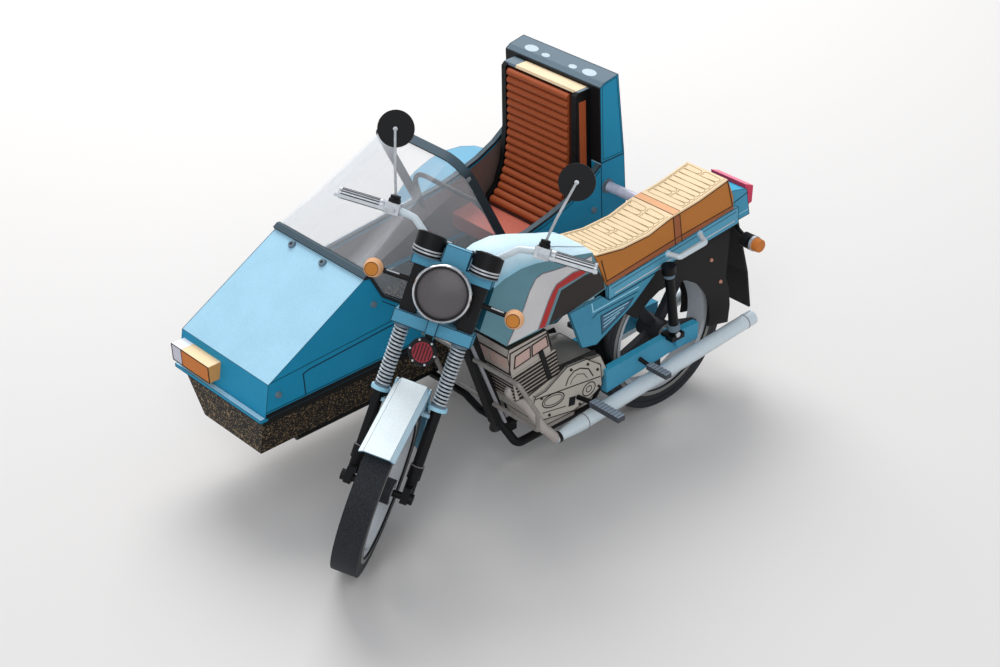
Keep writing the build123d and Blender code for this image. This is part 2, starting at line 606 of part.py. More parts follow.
WIRE = 0.6
hoop = [(1.0, -21.0, 58.0), (12.0, -22.0, 56.0), (19.0, -20.0, 46.0), (20.0, -18.0, 34.0), (16.0, -12.0, 21.0), (11.5, -6.5, 15.0), (CRADLE_X, -3.0, 15.6)]
crash = bent_tube(hoop, WIRE, 2.5)
crash = (crash + other_side(crash)) - frame
keep("crash_bars", crash)

# ---- sidecar chassis and hull -----------------------------------------------------------------
HULL_IN = -37.2
HULL_OUT = -83.8
HULL_FRONT = -76.0
HULL_REAR = 84.0
RAIL_Z = 18.6
hull_low = SILL_Z - HULL_DEPTH


def hull_shape(wall):
    """A tapering tray; the wall is taken off all round and off the bottom."""
    top = Rectangle(HULL_IN - HULL_OUT - 2 * wall, HULL_REAR - HULL_FRONT - 2 * wall)
    low = Rectangle(HULL_IN - HULL_OUT - 2 * HULL_TAPER - 2 * wall, HULL_REAR - HULL_FRONT - 4.0 - 2 * wall)
    centre = ((HULL_IN + HULL_OUT) / 2, (HULL_REAR + HULL_FRONT) / 2)
    return loft([Pos(*centre, hull_low + wall) * low, Pos(*centre, SILL_Z) * top], ruled=True)


hull = hull_shape(0) - hull_shape(CARD)
keep("sidecar_hull", hull)

CHASSIS_X = (-47.0, -74.0)
LINK_Y = (2.0, 26.0)
LINK_Z = 13.2
LINK_R = 1.3
chassis = bar((CHASSIS_X[0], -58.0, RAIL_Z), (CHASSIS_X[0], 70.0, RAIL_Z), TUBE_R)
chassis += bar((CHASSIS_X[1], -58.0, RAIL_Z), (CHASSIS_X[1], 70.0, RAIL_Z), TUBE_R)
for y in (-56.0, 68.0):
    chassis += bar((CHASSIS_X[0], y, RAIL_Z), (CHASSIS_X[1], y, RAIL_Z), TUBE_R - 0.1)
for y in LINK_Y:
    link_run = [(CHASSIS_X[1], y, LINK_Z + 3), (-30.0, y, LINK_Z + 3), (-22.0, y, LINK_Z), (-CRADLE_X, y, LINK_Z)]
    chassis += bent_tube(link_run, LINK_R, 3.0)
    chassis += block((-CRADLE_X - 1.4, -CRADLE_X + 1.4), (y - 1.4, y + 1.4), (LINK_Z, CRADLE_Z))
for x in CHASSIS_X:
    for y in (-50.0, 4.0, 60.0):
        chassis += block((x - 1.2, x + 1.2), (y - 1.2, y + 1.2), (RAIL_Z, hull_low))
wheel_in = SIDE_WHEEL_X + HALF_TYRE + HUB_END + 0.15
side_run = [(CHASSIS_X[1] + 0.4, SIDE_AXLE_Y, RAIL_Z), (-80.0, SIDE_AXLE_Y, RAIL_Z), (-86.0, SIDE_AXLE_Y, SIDE_WHEEL_R), (wheel_in, SIDE_AXLE_Y, SIDE_WHEEL_R)]
chassis += bent_tube(side_run, TUBE_R - 0.2, 2.5)
chassis = chassis - hull - frame
end_cap = SIDE_WHEEL_X - HALF_TYRE - HUB_END - 0.15
side_axle = bar((wheel_in, SIDE_AXLE_Y, SIDE_WHEEL_R), (end_cap, SIDE_AXLE_Y, SIDE_WHEEL_R), AXLE_R)
side_axle += bar((end_cap, SIDE_AXLE_Y, SIDE_WHEEL_R), (end_cap - 1.2, SIDE_AXLE_Y, SIDE_WHEEL_R), 2.0)
keep("sidecar_chassis", chassis + side_axle)

# ---- sidecar body -----------------------------------------------------------------------------
COCKPIT_REAR = 74.0
DECK_Z = 77.0
BODY_OUTLINE = (
    (-76.0, SILL_Z), (-73.5, 51.0), (-31.0, 74.0), (-26.0, 64.0), (-17.0, 57.0), (38.8, 62.4),
    (48.0, 64.4), (58.0, 67.4), (66.0, 71.0), (75.0, DECK_Z), (85.2, DECK_Z), (86.4, SILL_Z),
)
inner_x = (BODY_OUT + CARD, BODY_IN - CARD)
cockpit = ((-74.9, SILL_Z - 1), (-72.6, 50.3), (-31.8, 72.4), (-31.8, 120.0), (COCKPIT_REAR, 120.0), (COCKPIT_REAR, SILL_Z - 1))
boot = ((COCKPIT_REAR + CARD, SILL_Z - 1), (COCKPIT_REAR + CARD, DECK_Z - CARD), (84.2, DECK_Z - CARD), (85.4, SILL_Z - 1))
body = side_plate(BODY_OUTLINE, (BODY_OUT, BODY_IN))
body -= side_plate(cockpit, inner_x) + side_plate(boot, inner_x)
LIP = ((-78.0, 38.1), (-78.0, SILL_Z + 0.3), (-75.0, SILL_Z + 0.3), (-75.0, 38.1))
body = (body + side_plate(LIP, (BODY_OUT, BODY_IN))) - hull_shape(0)
keep("sidecar_body", body)
EDGE = ((-31.0, 74.1), (-26.0, 64.1), (-17.0, 57.1), (38.8, 62.5), (48.0, 64.5), (58.0, 67.5), (66.0, 71.1), (73.6, 76.2))
edge_strip = side_plate(ribbon(EDGE, 0.0, 1.0), (BODY_IN - 1.6, BODY_IN + 0.5))
far_strip = side_plate(ribbon(EDGE, 0.0, 1.0), (BODY_OUT - 0.5, BODY_OUT + 1.6))
rim = side_plate(((-32.6, 73.2), (-33.0, 74.0), (-31.2, 75.1), (-30.0, 74.9), (-30.0, 72.8)), (BODY_OUT - 0.5, BODY_IN + 0.5))
cockpit_trim = (edge_strip + far_strip + rim) - body

BOX_X = (-83.0, -62.0)
lamp_box = side_plate(((-78.0, SILL_Z), (-78.0, 48.0), (-72.0, 48.0), (-72.0, SILL_Z)), BOX_X)
lamp_box -= side_plate(BODY_OUTLINE, (BODY_OUT, BODY_IN)) + body
keep("nose_lamp_box", lamp_box)
keep("nose_lamp_lens", block((BOX_X[0] + 0.5, BOX_X[1] - 0.5), (-79.0, -78.0), (SILL_Z + 0.6, 47.5)))

# ---- sidecar windscreen -----------------------------------------------------------------------
HOOP_FOOT = (28.6, 62.6)
HOOP_TOP = (11.4, 99.6)
HOOP_CORNER = 10.0
HOOP_W = 3.2
HOOP_T = 0.8
rise = Vector(0, HOOP_TOP[0] - HOOP_FOOT[0], HOOP_TOP[1] - HOOP_FOOT[1])
hoop_plane = Plane(origin=((BODY_IN + BODY_OUT) / 2, *HOOP_FOOT), x_dir=(1, 0, 0), z_dir=Vector(1, 0, 0).cross(rise))


def arch_outline(half, high, corner):
    """A round-cornered arch standing on its open foot."""
    return make_face(
        FilletPolyline((-half, 0), (-half, high), (half, high), (half, 0), radius=corner) + Line((half, 0), (-half, 0))
    )


half_w = BODY_W / 2
hoop_face = arch_outline(half_w, rise.length, HOOP_CORNER) - arch_outline(half_w - HOOP_T, rise.length - HOOP_T, HOOP_CORNER - HOOP_T)
screen_hoop = hoop_plane.location * Pos(0, 0, -HOOP_W / 2) * extrude(hoop_face, amount=HOOP_W)
screen_hoop = (screen_hoop + cockpit_trim) - body
keep("cockpit_rim", screen_hoop)

SCREEN_FOOT = (-30.2, 75.2)
SCREEN_SIDE = (-16.0, 58.3)


def screen_skin(inset):
    """The space under the clear film: a flat-topped shape from the bonnet back to the hoop."""
    half = half_w - 0.2 - inset
    drop = HOOP_T + inset
    front = [(-half, SCREEN_FOOT[0], 57.0), (-half, SCREEN_FOOT[0], SCREEN_FOOT[1] - inset)]
    front += [(-half + 2.0, SCREEN_FOOT[0], SCREEN_FOOT[1] + 0.4 - inset)]
    front += [(-x, y, z) for x, y, z in front[::-1]]
    up = rise.normalized()
    rear = []
    for along, across in ((-6.0, half), (rise.length - HOOP_CORNER * 0.7 - inset, half), (rise.length - drop, half - HOOP_CORNER * 0.7)):
        rear.append((-across, HOOP_FOOT[0] + up.Y * along, HOOP_FOOT[1] + up.Z * along))
    rear += [(-x, y, z) for x, y, z in rear[::-1]]
    faces = [make_face(Polyline(*ring, close=True)) for ring in (front, rear)]
    return Pos((BODY_IN + BODY_OUT) / 2, 0, 0) * loft(faces, ruled=True)


film = screen_skin(0) - screen_skin(FILM)
above_edge = side_plate(((-40, 130), (-40, 75.0), (-30.4, 75.0), (-25.2, 65.3), (-16.6, 58.6), (60, 66.0), (60, 130)), (BODY_OUT - 2, BODY_IN + 2))
film = (film & above_edge) - screen_hoop - body
keep("windscreen", film)

GRAB_R = 0.9
grab_x = (BODY_IN - CARD - GRAB_R, BODY_OUT + CARD + GRAB_R)
grab = bent_tube([(grab_x[0], 30.0, 59.0), (grab_x[0] - 3.0, 24.0, 77.0), (grab_x[1] + 3.0, 24.0, 77.0), (grab_x[1], 30.0, 59.0)], GRAB_R, 9.0)
keep("grab_hoop", grab - screen_hoop - film)

# ---- sidecar seat and back ----------------------------------------------------------------------
SEAT_IN = -41.0
SEAT_OUT = -80.0
BACK_RIM = 2.2
BASE_OUTLINE = ((44.0, 45.0), (44.0, 50.6), (60.0, 52.6), (62.0, 45.0))
base = side_plate(BASE_OUTLINE, (BODY_OUT + CARD + 0.1, BODY_IN - CARD - 0.1))
base += block((-64.0, -57.0), (46.0, 60.0), (hull_low + CARD, 45.0))
keep("passenger_seat", base)
BACK_OUTLINE = ((56.0, 52.3), (61.6, 57.5), (65.2, 66.0), (67.4, 80.0), (68.0, 102.6), (COCKPIT_REAR, 103.8), (COCKPIT_REAR, 46.0), (62.2, 46.0), (60.4, 52.8))
back = side_plate(BACK_OUTLINE, (SEAT_OUT + BACK_RIM, SEAT_IN - BACK_RIM)) - base
keep("seat_back", back)
RIM_OUTLINE = ((54.8, 53.0), (60.8, 58.0), (64.4, 66.4), (66.5, 80.0), (67.2, 103.2), (68.4, 104.2), (COCKPIT_REAR, 104.4), (COCKPIT_REAR, 46.0), (62.2, 46.0), (60.4, 52.8))
cheek = side_plate(RIM_OUTLINE, (SEAT_IN - BACK_RIM, SEAT_IN)) + side_plate(RIM_OUTLINE, (SEAT_OUT, SEAT_OUT + BACK_RIM))
cheek = cheek - base
keep("seat_back_sides", cheek)

SHELL_OUTLINE = ((74.0, DECK_Z), (74.0, 106.0), (76.0, 107.2), (82.6, 108.4), (85.2, DECK_Z))
SHELL_LIFT = 1.0
shell = side_plate(SHELL_OUTLINE, (BODY_OUT, BODY_IN))
cavity = ((75.0, DECK_Z - 1), (75.0, 105.4), (81.8, 106.6), (84.2, DECK_Z - 1))
shell -= side_plate(cavity, inner_x)
keep("back_shell", shell)

# ---- sidecar mudguard, links --------------------------------------------------------------------
FENDER_R = 35.4
FENDER_X = (-104.4, -90.0)
FENDER_T = 0.8


def side_sector(radius, low, high, x):
    steps = [low + (high - low) * k / 14 for k in range(15)]
    rim = [(SIDE_AXLE_Y + radius * cos(radians(a)), SIDE_WHEEL_R + radius * sin(radians(a))) for a in steps]
    return side_plate([(SIDE_AXLE_Y, SIDE_WHEEL_R)] + rim, x)


fender = side_sector(FENDER_R, 6, 174, FENDER_X) - side_sector(FENDER_R - FENDER_T, 2, 178, (FENDER_X[0] + FENDER_T, FENDER_X[1]))
fender -= side_sector(24.0, 2, 178, (FENDER_X[0], FENDER_X[1]))
brackets = Part()
for y in (SIDE_AXLE_Y - 20.0, SIDE_AXLE_Y + 20.0):
    z = SIDE_WHEEL_R + sqrt((FENDER_R - FENDER_T) ** 2 - 400)
    brackets += block((-96.0, BODY_OUT), (y - 1.6, y + 1.6), (z - 1.6, z))
keep("sidecar_mudguard", (fender + brackets) - body)

link = bar((BODY_IN, 82.0, 60.0), (-SADDLE_X, 78.0, 64.0), 1.3)
link += bar((BODY_IN, 82.0, 60.0), (BODY_IN + 1.0, 81.8, 60.2), 2.4)
keep("upper_link", link - frame - seat_rail - body)

# ---- export -------------------------------------------------------------------------------------
boxes = [shape.bounding_box() for shape in NODES.values()]
mid_x = (min(b.min.X for b in boxes) + max(b.max.X for b in boxes)) / 2
mid_y = (min(b.min.Y for b in boxes) + max(b.max.Y for b in boxes)) / 2
os.makedirs("parts", exist_ok=True)
for name, shape in NODES.items():
    export_step(Pos(-mid_x, -mid_y, 0) * shape, f"parts/{name}.step")
print(f"frame moved by {mid_x:.4f}, {mid_y:.4f}; {len(NODES)} nodes")
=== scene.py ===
import json
import math

import bmesh
import bpy
from mathutils import Matrix, Vector


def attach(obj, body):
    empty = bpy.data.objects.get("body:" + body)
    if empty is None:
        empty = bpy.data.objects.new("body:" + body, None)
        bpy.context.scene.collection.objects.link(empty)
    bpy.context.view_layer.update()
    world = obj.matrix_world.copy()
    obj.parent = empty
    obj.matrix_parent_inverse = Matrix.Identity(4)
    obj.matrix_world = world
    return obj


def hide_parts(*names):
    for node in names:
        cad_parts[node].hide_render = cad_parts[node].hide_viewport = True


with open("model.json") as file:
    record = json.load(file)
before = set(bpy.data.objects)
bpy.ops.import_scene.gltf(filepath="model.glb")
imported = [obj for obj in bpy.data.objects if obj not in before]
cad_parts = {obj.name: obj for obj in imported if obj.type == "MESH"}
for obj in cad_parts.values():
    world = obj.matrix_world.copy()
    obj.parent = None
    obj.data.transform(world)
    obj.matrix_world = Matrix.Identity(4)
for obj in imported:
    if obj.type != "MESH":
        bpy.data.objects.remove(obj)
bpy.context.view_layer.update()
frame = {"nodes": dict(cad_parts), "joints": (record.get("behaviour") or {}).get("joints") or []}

NODES = frame["nodes"]
MM = 0.001

# ---- where things are: millimetres from the ground under the motorcycle ----
# +x is the rider's left, -y is forwards and the sidecar stands at -x.
WHEELS = {"front_wheel": 28.8, "rear_wheel": 28.8, "sidecar_wheel": 28.0}
REAR_AXLE = (0.0, 64.75, WHEELS["rear_wheel"])
HALF_TYRE = 4.2
STEER_TURN = math.radians(37.5)
STEER_HEIGHT = 90.0
BAR_TILT = math.radians(3.5)
BAR_HEIGHT = 104.2
BODY_IN, BODY_OUT = -36.0, -85.0
BODY_MID = (BODY_IN + BODY_OUT) / 2
ACROSS, AHEAD, UP = (1, 0, 0), (0, -1, 0), (0, 0, 1)

joint_at = {j["name"]: Vector(j["pos_m"]) for j in frame["joints"]}
joint_axis = {j["name"]: Vector(j["axis"]).normalized() for j in frame["joints"]}
ORIGIN = joint_at["rear_wheel_spin"] - Vector(REAR_AXLE) * MM


class Place:
    """A frame to draw pieces in, with the body that carries them."""

    def __init__(self, matrix, body):
        self.matrix, self.body = matrix, body


def lift(x, y, z):
    return Matrix.Translation(Vector((x, y, z)) * MM)


def axes(*columns):
    return Matrix(columns).transposed().to_4x4()


def fork_frame():
    """The turned fork's own upright frame: x across, -y ahead, z up the steering axis."""
    up, across = joint_axis["steering"], Vector(ACROSS)
    foot = Matrix.Translation(joint_at["steering"] - up * STEER_HEIGHT * MM)
    return foot @ axes(across, up.cross(across), up) @ Matrix.Rotation(STEER_TURN, 4, "Z")


def wheel_frame(body):
    """A wheel's own frame: x along its axle, outwards to the rider's left."""
    joint = body + "_spin"
    axle = joint_axis[joint] if joint_axis[joint].x > 0 else -joint_axis[joint]
    back = Vector(UP).cross(axle).normalized()
    return Place(Matrix.Translation(joint_at[joint]) @ axes(axle, back, axle.cross(back)), body)


BIKE = Place(Matrix.Translation(ORIGIN), "chassis")
SIDECAR = Place(BIKE.matrix @ lift(BODY_MID, 0, 0), "chassis")
FORK = Place(fork_frame(), "fork")
bar_turn = lift(0, 0, BAR_HEIGHT) @ Matrix.Rotation(-BAR_TILT, 4, "Y") @ lift(0, 0, -BAR_HEIGHT)
BAR = Place(FORK.matrix @ bar_turn, "fork")


# ---- finishes ----
CARD_GLOSS, RELIEF_DEPTH = 0.22, 0.08 * MM
DOT_SCALE, WASH_SCALE, FIBRE_SCALE, BRUSH_SCALE = 3600.0, 90.0, 5200.0, 700.0
FLECK = 0.035
FILM_TURN, FILM_STRETCH = (0.0, 0.0, math.radians(-38)), (42.0, 4.0, 12.0)


def linear(code, share=1.0):
    """A screen colour's code, times a share, as the linear values that shaders take."""
    levels = (min(255, c * share) for c in bytes.fromhex(code))
    return tuple(((c / 255 + 0.055) / 1.055) ** 2.4 if c > 10 else c / 3294.6 for c in levels) + (1.0,)


def grey(value):
    return (value, value, value, 1)


def feed(n, inputs):
    """Gives a node's inputs, by name or number, their links or their values."""
    for key, value in inputs.items():
        if isinstance(value, bpy.types.NodeSocket):
            n.id_data.links.new(value, n.inputs[key])
        else:
            n.inputs[key].default_value = value
    return n.outputs


def node(tree, kind, inputs=None, **settings):
    """A new node in a tree; gives its outputs."""
    n = tree.nodes.new(kind)
    for key, value in settings.items():
        setattr(n, key, value)
    return feed(n, inputs or {})


def blank(name):
    m = bpy.data.materials.new(name)
    m.use_nodes = True
    return m, m.node_tree, m.node_tree.nodes["Principled BSDF"]


def grain(tree, coords, scale, detail=3.0):
    return node(tree, "ShaderNodeTexNoise", {"Vector": coords, "Scale": scale, "Detail": detail})["Fac"]


def ramp(tree, fac, *stops):
    r = tree.nodes.new("ShaderNodeValToRGB")
    while len(r.color_ramp.elements) < len(stops):
        r.color_ramp.elements.new(0.5)
    for element, (place, colour) in zip(r.color_ramp.elements, stops):
        element.position, element.color = place, colour
    return feed(r, {"Fac": fac})["Color"]


def ink(tree, fac, code, spread, low, high):
    """One ink that runs from a little darker to a little lighter."""
    return ramp(tree, fac, (low, linear(code, 1 - spread)), (high, linear(code, 1 + spread)))


def mixed(tree, factor, first, second, blend="MIX"):
    """Two colours mixed by a factor; each may be a socket or a value."""
    inputs = {0: factor, 6: first, 7: second}
    return node(tree, "ShaderNodeMix", inputs, data_type="RGBA", blend_type=blend)[2]


def dress(tree, bsdf, colour, roughness, height, bumps):
    """Colour, gloss and a fine relief on a surface."""
    feed(bsdf, {"Base Color": colour, "Roughness": roughness})
    if bumps:
        relief = {"Strength": bumps, "Distance": RELIEF_DEPTH, "Height": height}
        feed(bsdf, {"Normal": node(tree, "ShaderNodeBump", relief)["Normal"]})


def card(name, side, top=None, roughness=0.6):
    """Printed card: fine dots of ink on a fibrous sheet, with a second colour on what faces up, which on most
    cards paints the light and shade that the tops catch.
    """
    m, t, bsdf = blank(name)
    where = node(t, "ShaderNodeTexCoord")
    coords = where["Object"]
    dots = grain(t, coords, DOT_SCALE)
    colour = ink(t, dots, side, FLECK, 0.36, 0.64)
    if top is not None:
        # Painted light: upward faces take the second colour, a painted highlight where it is lighter and
        # painted shade where it is darker.
        facing = node(t, "ShaderNodeSeparateXYZ", {"Vector": where["Normal"]})["Z"]
        upward = ramp(t, facing, (0.30, grey(0)), (0.62, grey(1)))
        colour = mixed(t, upward, colour, ink(t, dots, top, FLECK, 0.36, 0.64))
    wash = ramp(t, grain(t, coords, WASH_SCALE, 2.0), (0.35, grey(0.975)), (0.65, grey(1.025)))
    feed(bsdf, {"Specular IOR Level": CARD_GLOSS})
    fibres = grain(t, coords, FIBRE_SCALE, 4.0)
    dress(t, bsdf, mixed(t, 1.0, colour, wash, "MULTIPLY"), roughness, fibres, 0.35)
    return m


def speckled(name, ground, specks, scale, share, plain_above=None):
    """Card printed all over with specks of a second colour, plain from a height upwards."""
    m, t, bsdf = blank(name)
    coords = node(t, "ShaderNodeTexCoord")["Object"]
    dots = grain(t, coords, scale, 6.0)
    colour = ramp(t, dots, (share, linear(ground)), (share + 0.05, linear(specks)))
    if plain_above is not None:
        height = node(t, "ShaderNodeSeparateXYZ", {"Vector": coords})["Z"]
        above = node(t, "ShaderNodeMath", {0: height, 1: plain_above}, operation="GREATER_THAN")[0]
        colour = mixed(t, above, colour, linear(ground))
    fine = ramp(t, grain(t, coords, scale * 2.7, 2.0), (0.4, grey(0.55)), (0.6, grey(1)))
    feed(bsdf, {"Specular IOR Level": CARD_GLOSS})
    dress(t, bsdf, mixed(t, 1.0, colour, fine, "MULTIPLY"), 0.6, dots, 0.3)
    return m


def paint(name, code, metal=0.0, roughness=0.4, ripple=0.15, streak=0.05):
    """Brushed-on paint over wire and rolled card."""
    m, t, bsdf = blank(name)
    brush = grain(t, node(t, "ShaderNodeTexCoord")["Object"], BRUSH_SCALE)
    feed(bsdf, {"Metallic": metal})
    dress(t, bsdf, ink(t, brush, code, streak, 0.3, 0.7), roughness, brush, ripple)
    return m


def clear_film(name):
    """Thin clear film with soft white streaks, which are painted reflections on the film."""
    m, t, bsdf = blank(name)
    coords = node(t, "ShaderNodeTexCoord")["Object"]
    turned = node(t, "ShaderNodeMapping", {"Vector": coords, "Rotation": FILM_TURN, "Scale": FILM_STRETCH})[0]
    # Painted reflections: stretched, slanted white streaks in the film's alpha.
    painted_reflections = ramp(t, grain(t, turned, 1.0, 1.0), (0.42, grey(0.07)), (0.56, grey(0.16)), (0.64, grey(0.38)))
    slant = node(t, "ShaderNodeFresnel", {"IOR": 1.3})[0]
    alpha = mixed(t, slant, painted_reflections, grey(0.7))
    feed(bsdf, {"Base Color": linear("f0f4f8"), "Roughness": 0.08, "Alpha": alpha})
    return m


# A card's second colour goes on its upward faces as painted light: a painted highlight on lighter tops
# (mudguards, hood, tank, lamps, pegs) and painted shade on darker tops (engine, cylinder head). The seat's
# cream top is its own print.
SKY = card("sky_card", "428aa8", "70acc8")
HOOD_BLUE = card("hood_and_body_card", "1c8eb6", "a4d0e6")
GUARD_BLUE = card("mudguard_card", "7cb4ce", "ecf6fa")
SHELL_BLUE = card("back_shell_card", "1c90b8", "5c707c")
LINK_BLUE = card("swing_arm_card", "4696b6", "3ca8cc")
RAIL_BLUE = card("seat_rail_card", "5aa0bc", "78b6ce")
PANEL_BLUE = card("side_panel_card", "428ca8", "60a4be")
RECESS_BLUE = card("panel_recess_card", "42647c")
PALE_BLUE = card("pale_blue_card", "96cae0", "b0d8ea")
DUSK_BLUE = card("printed_dark_blue", "16384a")
DEEP_BLUE = card("deep_blue_card", "125466")
# Lit and shaded copies of the tank's blue: the grey-blue side is painted shade, the pale top a painted
# highlight.
TANK_SHADED_SIDE = card("tank_shaded_side_card", "628c98")
TANK_LIT_TOP = card("tank_lit_top_card", "96c8dc", "d0eaf5")
TANK_SHADOW = card("tank_shadow_card", "322c2a")
BAND_WHITE = card("white_print", "cecccc")
BAND_GREY = card("grey_print", "807c82")
BAND_RED = card("red_print", "b23432")
BLACK = card("black_card", "0b0b0d", roughness=0.5)
INK = card("black_ink", "141416", roughness=0.55)
# Near black; above the engine cover it is painted shade in a gap.
NEAR_BLACK = card("near_black_card", "1b1919", roughness=0.62)
# The hull is plain black from 34.5 mm up: a dark band under the body's lip that also paints the shadow of the
# overhang.
HULL = speckled("speckled_hull_card", "14110e", "9e8460", 1450.0, 0.55, 0.0345)
ENGINE = card("engine_card", "b8b2a8", "96928c")
ENGINE_CARD = card("cylinder_head_card", "b4aaa2", "3e3c36")
ENGINE_PINK = card("engine_pink_print", "c4a69c")
ENGINE_LINE = card("engine_line_print", "2c2420")
FRAME_GREY = card("frame_grey", "96969c")
SEAT_CARD = card("seat_card", "ba7432", "eacfa8")
SEAT_TRIM = card("seat_trim_print", "9e5c38")
SEAT_LINE = card("seat_line_print", "382216")
STRAP = card("seat_strap_print", "e2a87a")
STITCH = card("seat_stitch_print", "a08e68")
RUST = card("rust_card", "aa542e")
RUST_GAP = card("rust_shadow_card", "421e14")
SALMON = card("salmon_card", "b25442", "ce6c58")
BEIGE = card("beige_card", "f0d6b0")
SLATE = card("slate_card", "687a86")
SILVER = paint("silver_paint", "bec2c6", 0.35, 0.34, 0.05)
PALE_SILVER = paint("pale_silver_paint", "cedae0", 0.05, 0.34, 0.0, 0.012)
PIPE = paint("pipe_paint", "aca49e", 0.1, 0.4, 0.0, 0.02)
LINK_SILVER = paint("link_silver", "cecede", 0.1, 0.4)
CHROME = paint("chrome_film", "dadadc", 0.9, 0.2)
WIRE = paint("wire_grey", "8c8680", 0.15, 0.45, 0.05)
SPRING_STEEL = paint("spring_wire", "bac2c8", 0.3, 0.42, 0.0)
TREAD = speckled("tread_card", "22242a", "2c3036", 1900.0, 0.5)
SIDEWALL = card("sidewall_card", "2e2f32")
SIDE_RING = card("wheel_ring_card", "868482")
RIM = card("rim_card", "bec2c6")
HUB = card("hub_card", "2c2c30")
ORANGE = card("orange_card", "c87634")
OCHRE = card("ochre_card", "c07a30")
PEACH = card("peach_card", "ecb282")
LAMP_CREAM = card("lamp_cream_card", "d69a5a", "f6d8ac")
RED = card("red_card", "ce3e5c", "e88096")
HORN_RED = card("horn_red_print", "8e2c38")
LENS = card("grey_lens_card", "5c585a", roughness=0.2)
COAMING = card("coaming_card", "242c32", "42545e")
LINING = card("cockpit_lining_card", "74605a")
LILAC = card("lilac_card", "ccccd8", "eef0f6")
GRIP_DARK = card("grip_shadow_print", "3e4044")
PEG = card("peg_card", "464a50", "96a0ac")
OVAL_GREY = card("oval_print", "bacad2")
COPPER = card("rivet_salmon_print", "c48c76")
FILM = clear_film("clear_film")

FINISH_OF = {
    BLACK: "front_axle fork_legs frame grab_hoop headlamp_shell mirrors rear_shocks seat_back_sides "
           "sidecar_chassis",
    SKY: "lower_yoke upper_yoke sidecar_mudguard",
    RIM: "front_rim rear_rim sidecar_wheel_rim", TREAD: "front_tyre rear_tyre sidecar_wheel_tyre",
    HUB: "front_hub rear_hub sidecar_wheel_hub", SILVER: "grips levers mirror_stalks",
    PALE_SILVER: "grab_rails handlebar", ORANGE: "nose_lamp_lens rear_indicators", SHELL_BLUE: "back_shell",
    COAMING: "cockpit_rim", PEACH: "front_indicators", GUARD_BLUE: "front_mudguard",
    LAMP_CREAM: "nose_lamp_box", SALMON: "passenger_seat", NEAR_BLACK: "rear_mudguard", RUST_GAP: "seat_back",
    HOOD_BLUE: "sidecar_body", HULL: "sidecar_hull", LINK_BLUE: "swing_arms", LINK_SILVER: "upper_link",
    FILM: "windscreen",
}
for finish, names in FINISH_OF.items():
    for name in names.split():
        NODES[name].data.materials.clear()
        NODES[name].data.materials.append(finish)


# ---- making pieces ----
SMOOTH_ANGLE = math.radians(38)
WELD = 1e-6
PROUD = 0.07
SUNK = 0.2


def link(obj):
    bpy.context.collection.objects.link(obj)
    return obj


def keep(name, mesh, body, stands_for=(), bevel=0.0):
    """A finished mesh, in place, becomes a piece of the model that rides on a body."""
    mesh.shade_smooth()
    mesh.set_sharp_from_angle(angle=SMOOTH_ANGLE)
    obj = link(bpy.data.objects.new(name, mesh))
    if bevel:
        edge = obj.modifiers.new("soft_edge", "BEVEL")
        edge.width = bevel * MM
        edge.segments = 2
        edge.limit_method = "ANGLE"
        edge.angle_limit = SMOOTH_ANGLE
    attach(obj, body)
    if stands_for:
        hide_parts(*stands_for)
    return obj


def circle(radius, count, first=0.0):
    """Evenly spaced points on a circle; first is the share of a step that it starts at."""
    turns = [2 * math.pi * (k + first) / count for k in range(count)]
    return [(radius * math.cos(a), radius * math.sin(a)) for a in turns]


def along(outline, y):
    """The height of a run of (y, z) points at y."""
    for (y0, z0), (y1, z1) in zip(outline, outline[1:]):
        if y0 <= y <= y1:
            return z0 + (z1 - z0) * (y - y0) / (y1 - y0)
    return outline[-1][1] if y > outline[-1][0] else outline[0][1]


def smooth_path(points, radius, steps=6):
    """A run of straight lines with its corners rounded by arcs."""
    points = [Vector(p) for p in points]
    path = [points[0]]
    for before, corner, after in zip(points, points[1:], points[2:]):
        to_before, to_after = (before - corner).normalized(), (after - corner).normalized()
        half = to_before.angle(to_after) / 2
        reach = min(radius / math.tan(half), (before - corner).length / 2, (after - corner).length / 2)
        middle = corner + (to_before + to_after).normalized() * reach / math.cos(half)
        start, end = corner + to_before * reach - middle, corner + to_after * reach - middle
        path += [middle + start.slerp(end, k / steps) for k in range(steps + 1)]
    return path + [points[-1]]


def round_loop(points, radius, steps=6):
    """A closed loop of straight lines with rounded corners."""
    middle = (Vector(points[0]) + Vector(points[-1])) / 2
    return smooth_path([middle, *points, middle], radius, steps)[:-1]


def neighbours(path, closed):
    """Each point of a path with the one before and the one after it."""
    n = len(path)
    for i, here in enumerate(path):
        yield path[i - 1] if i or closed else here, here, path[(i + 1) % n] if i < n - 1 or closed else here


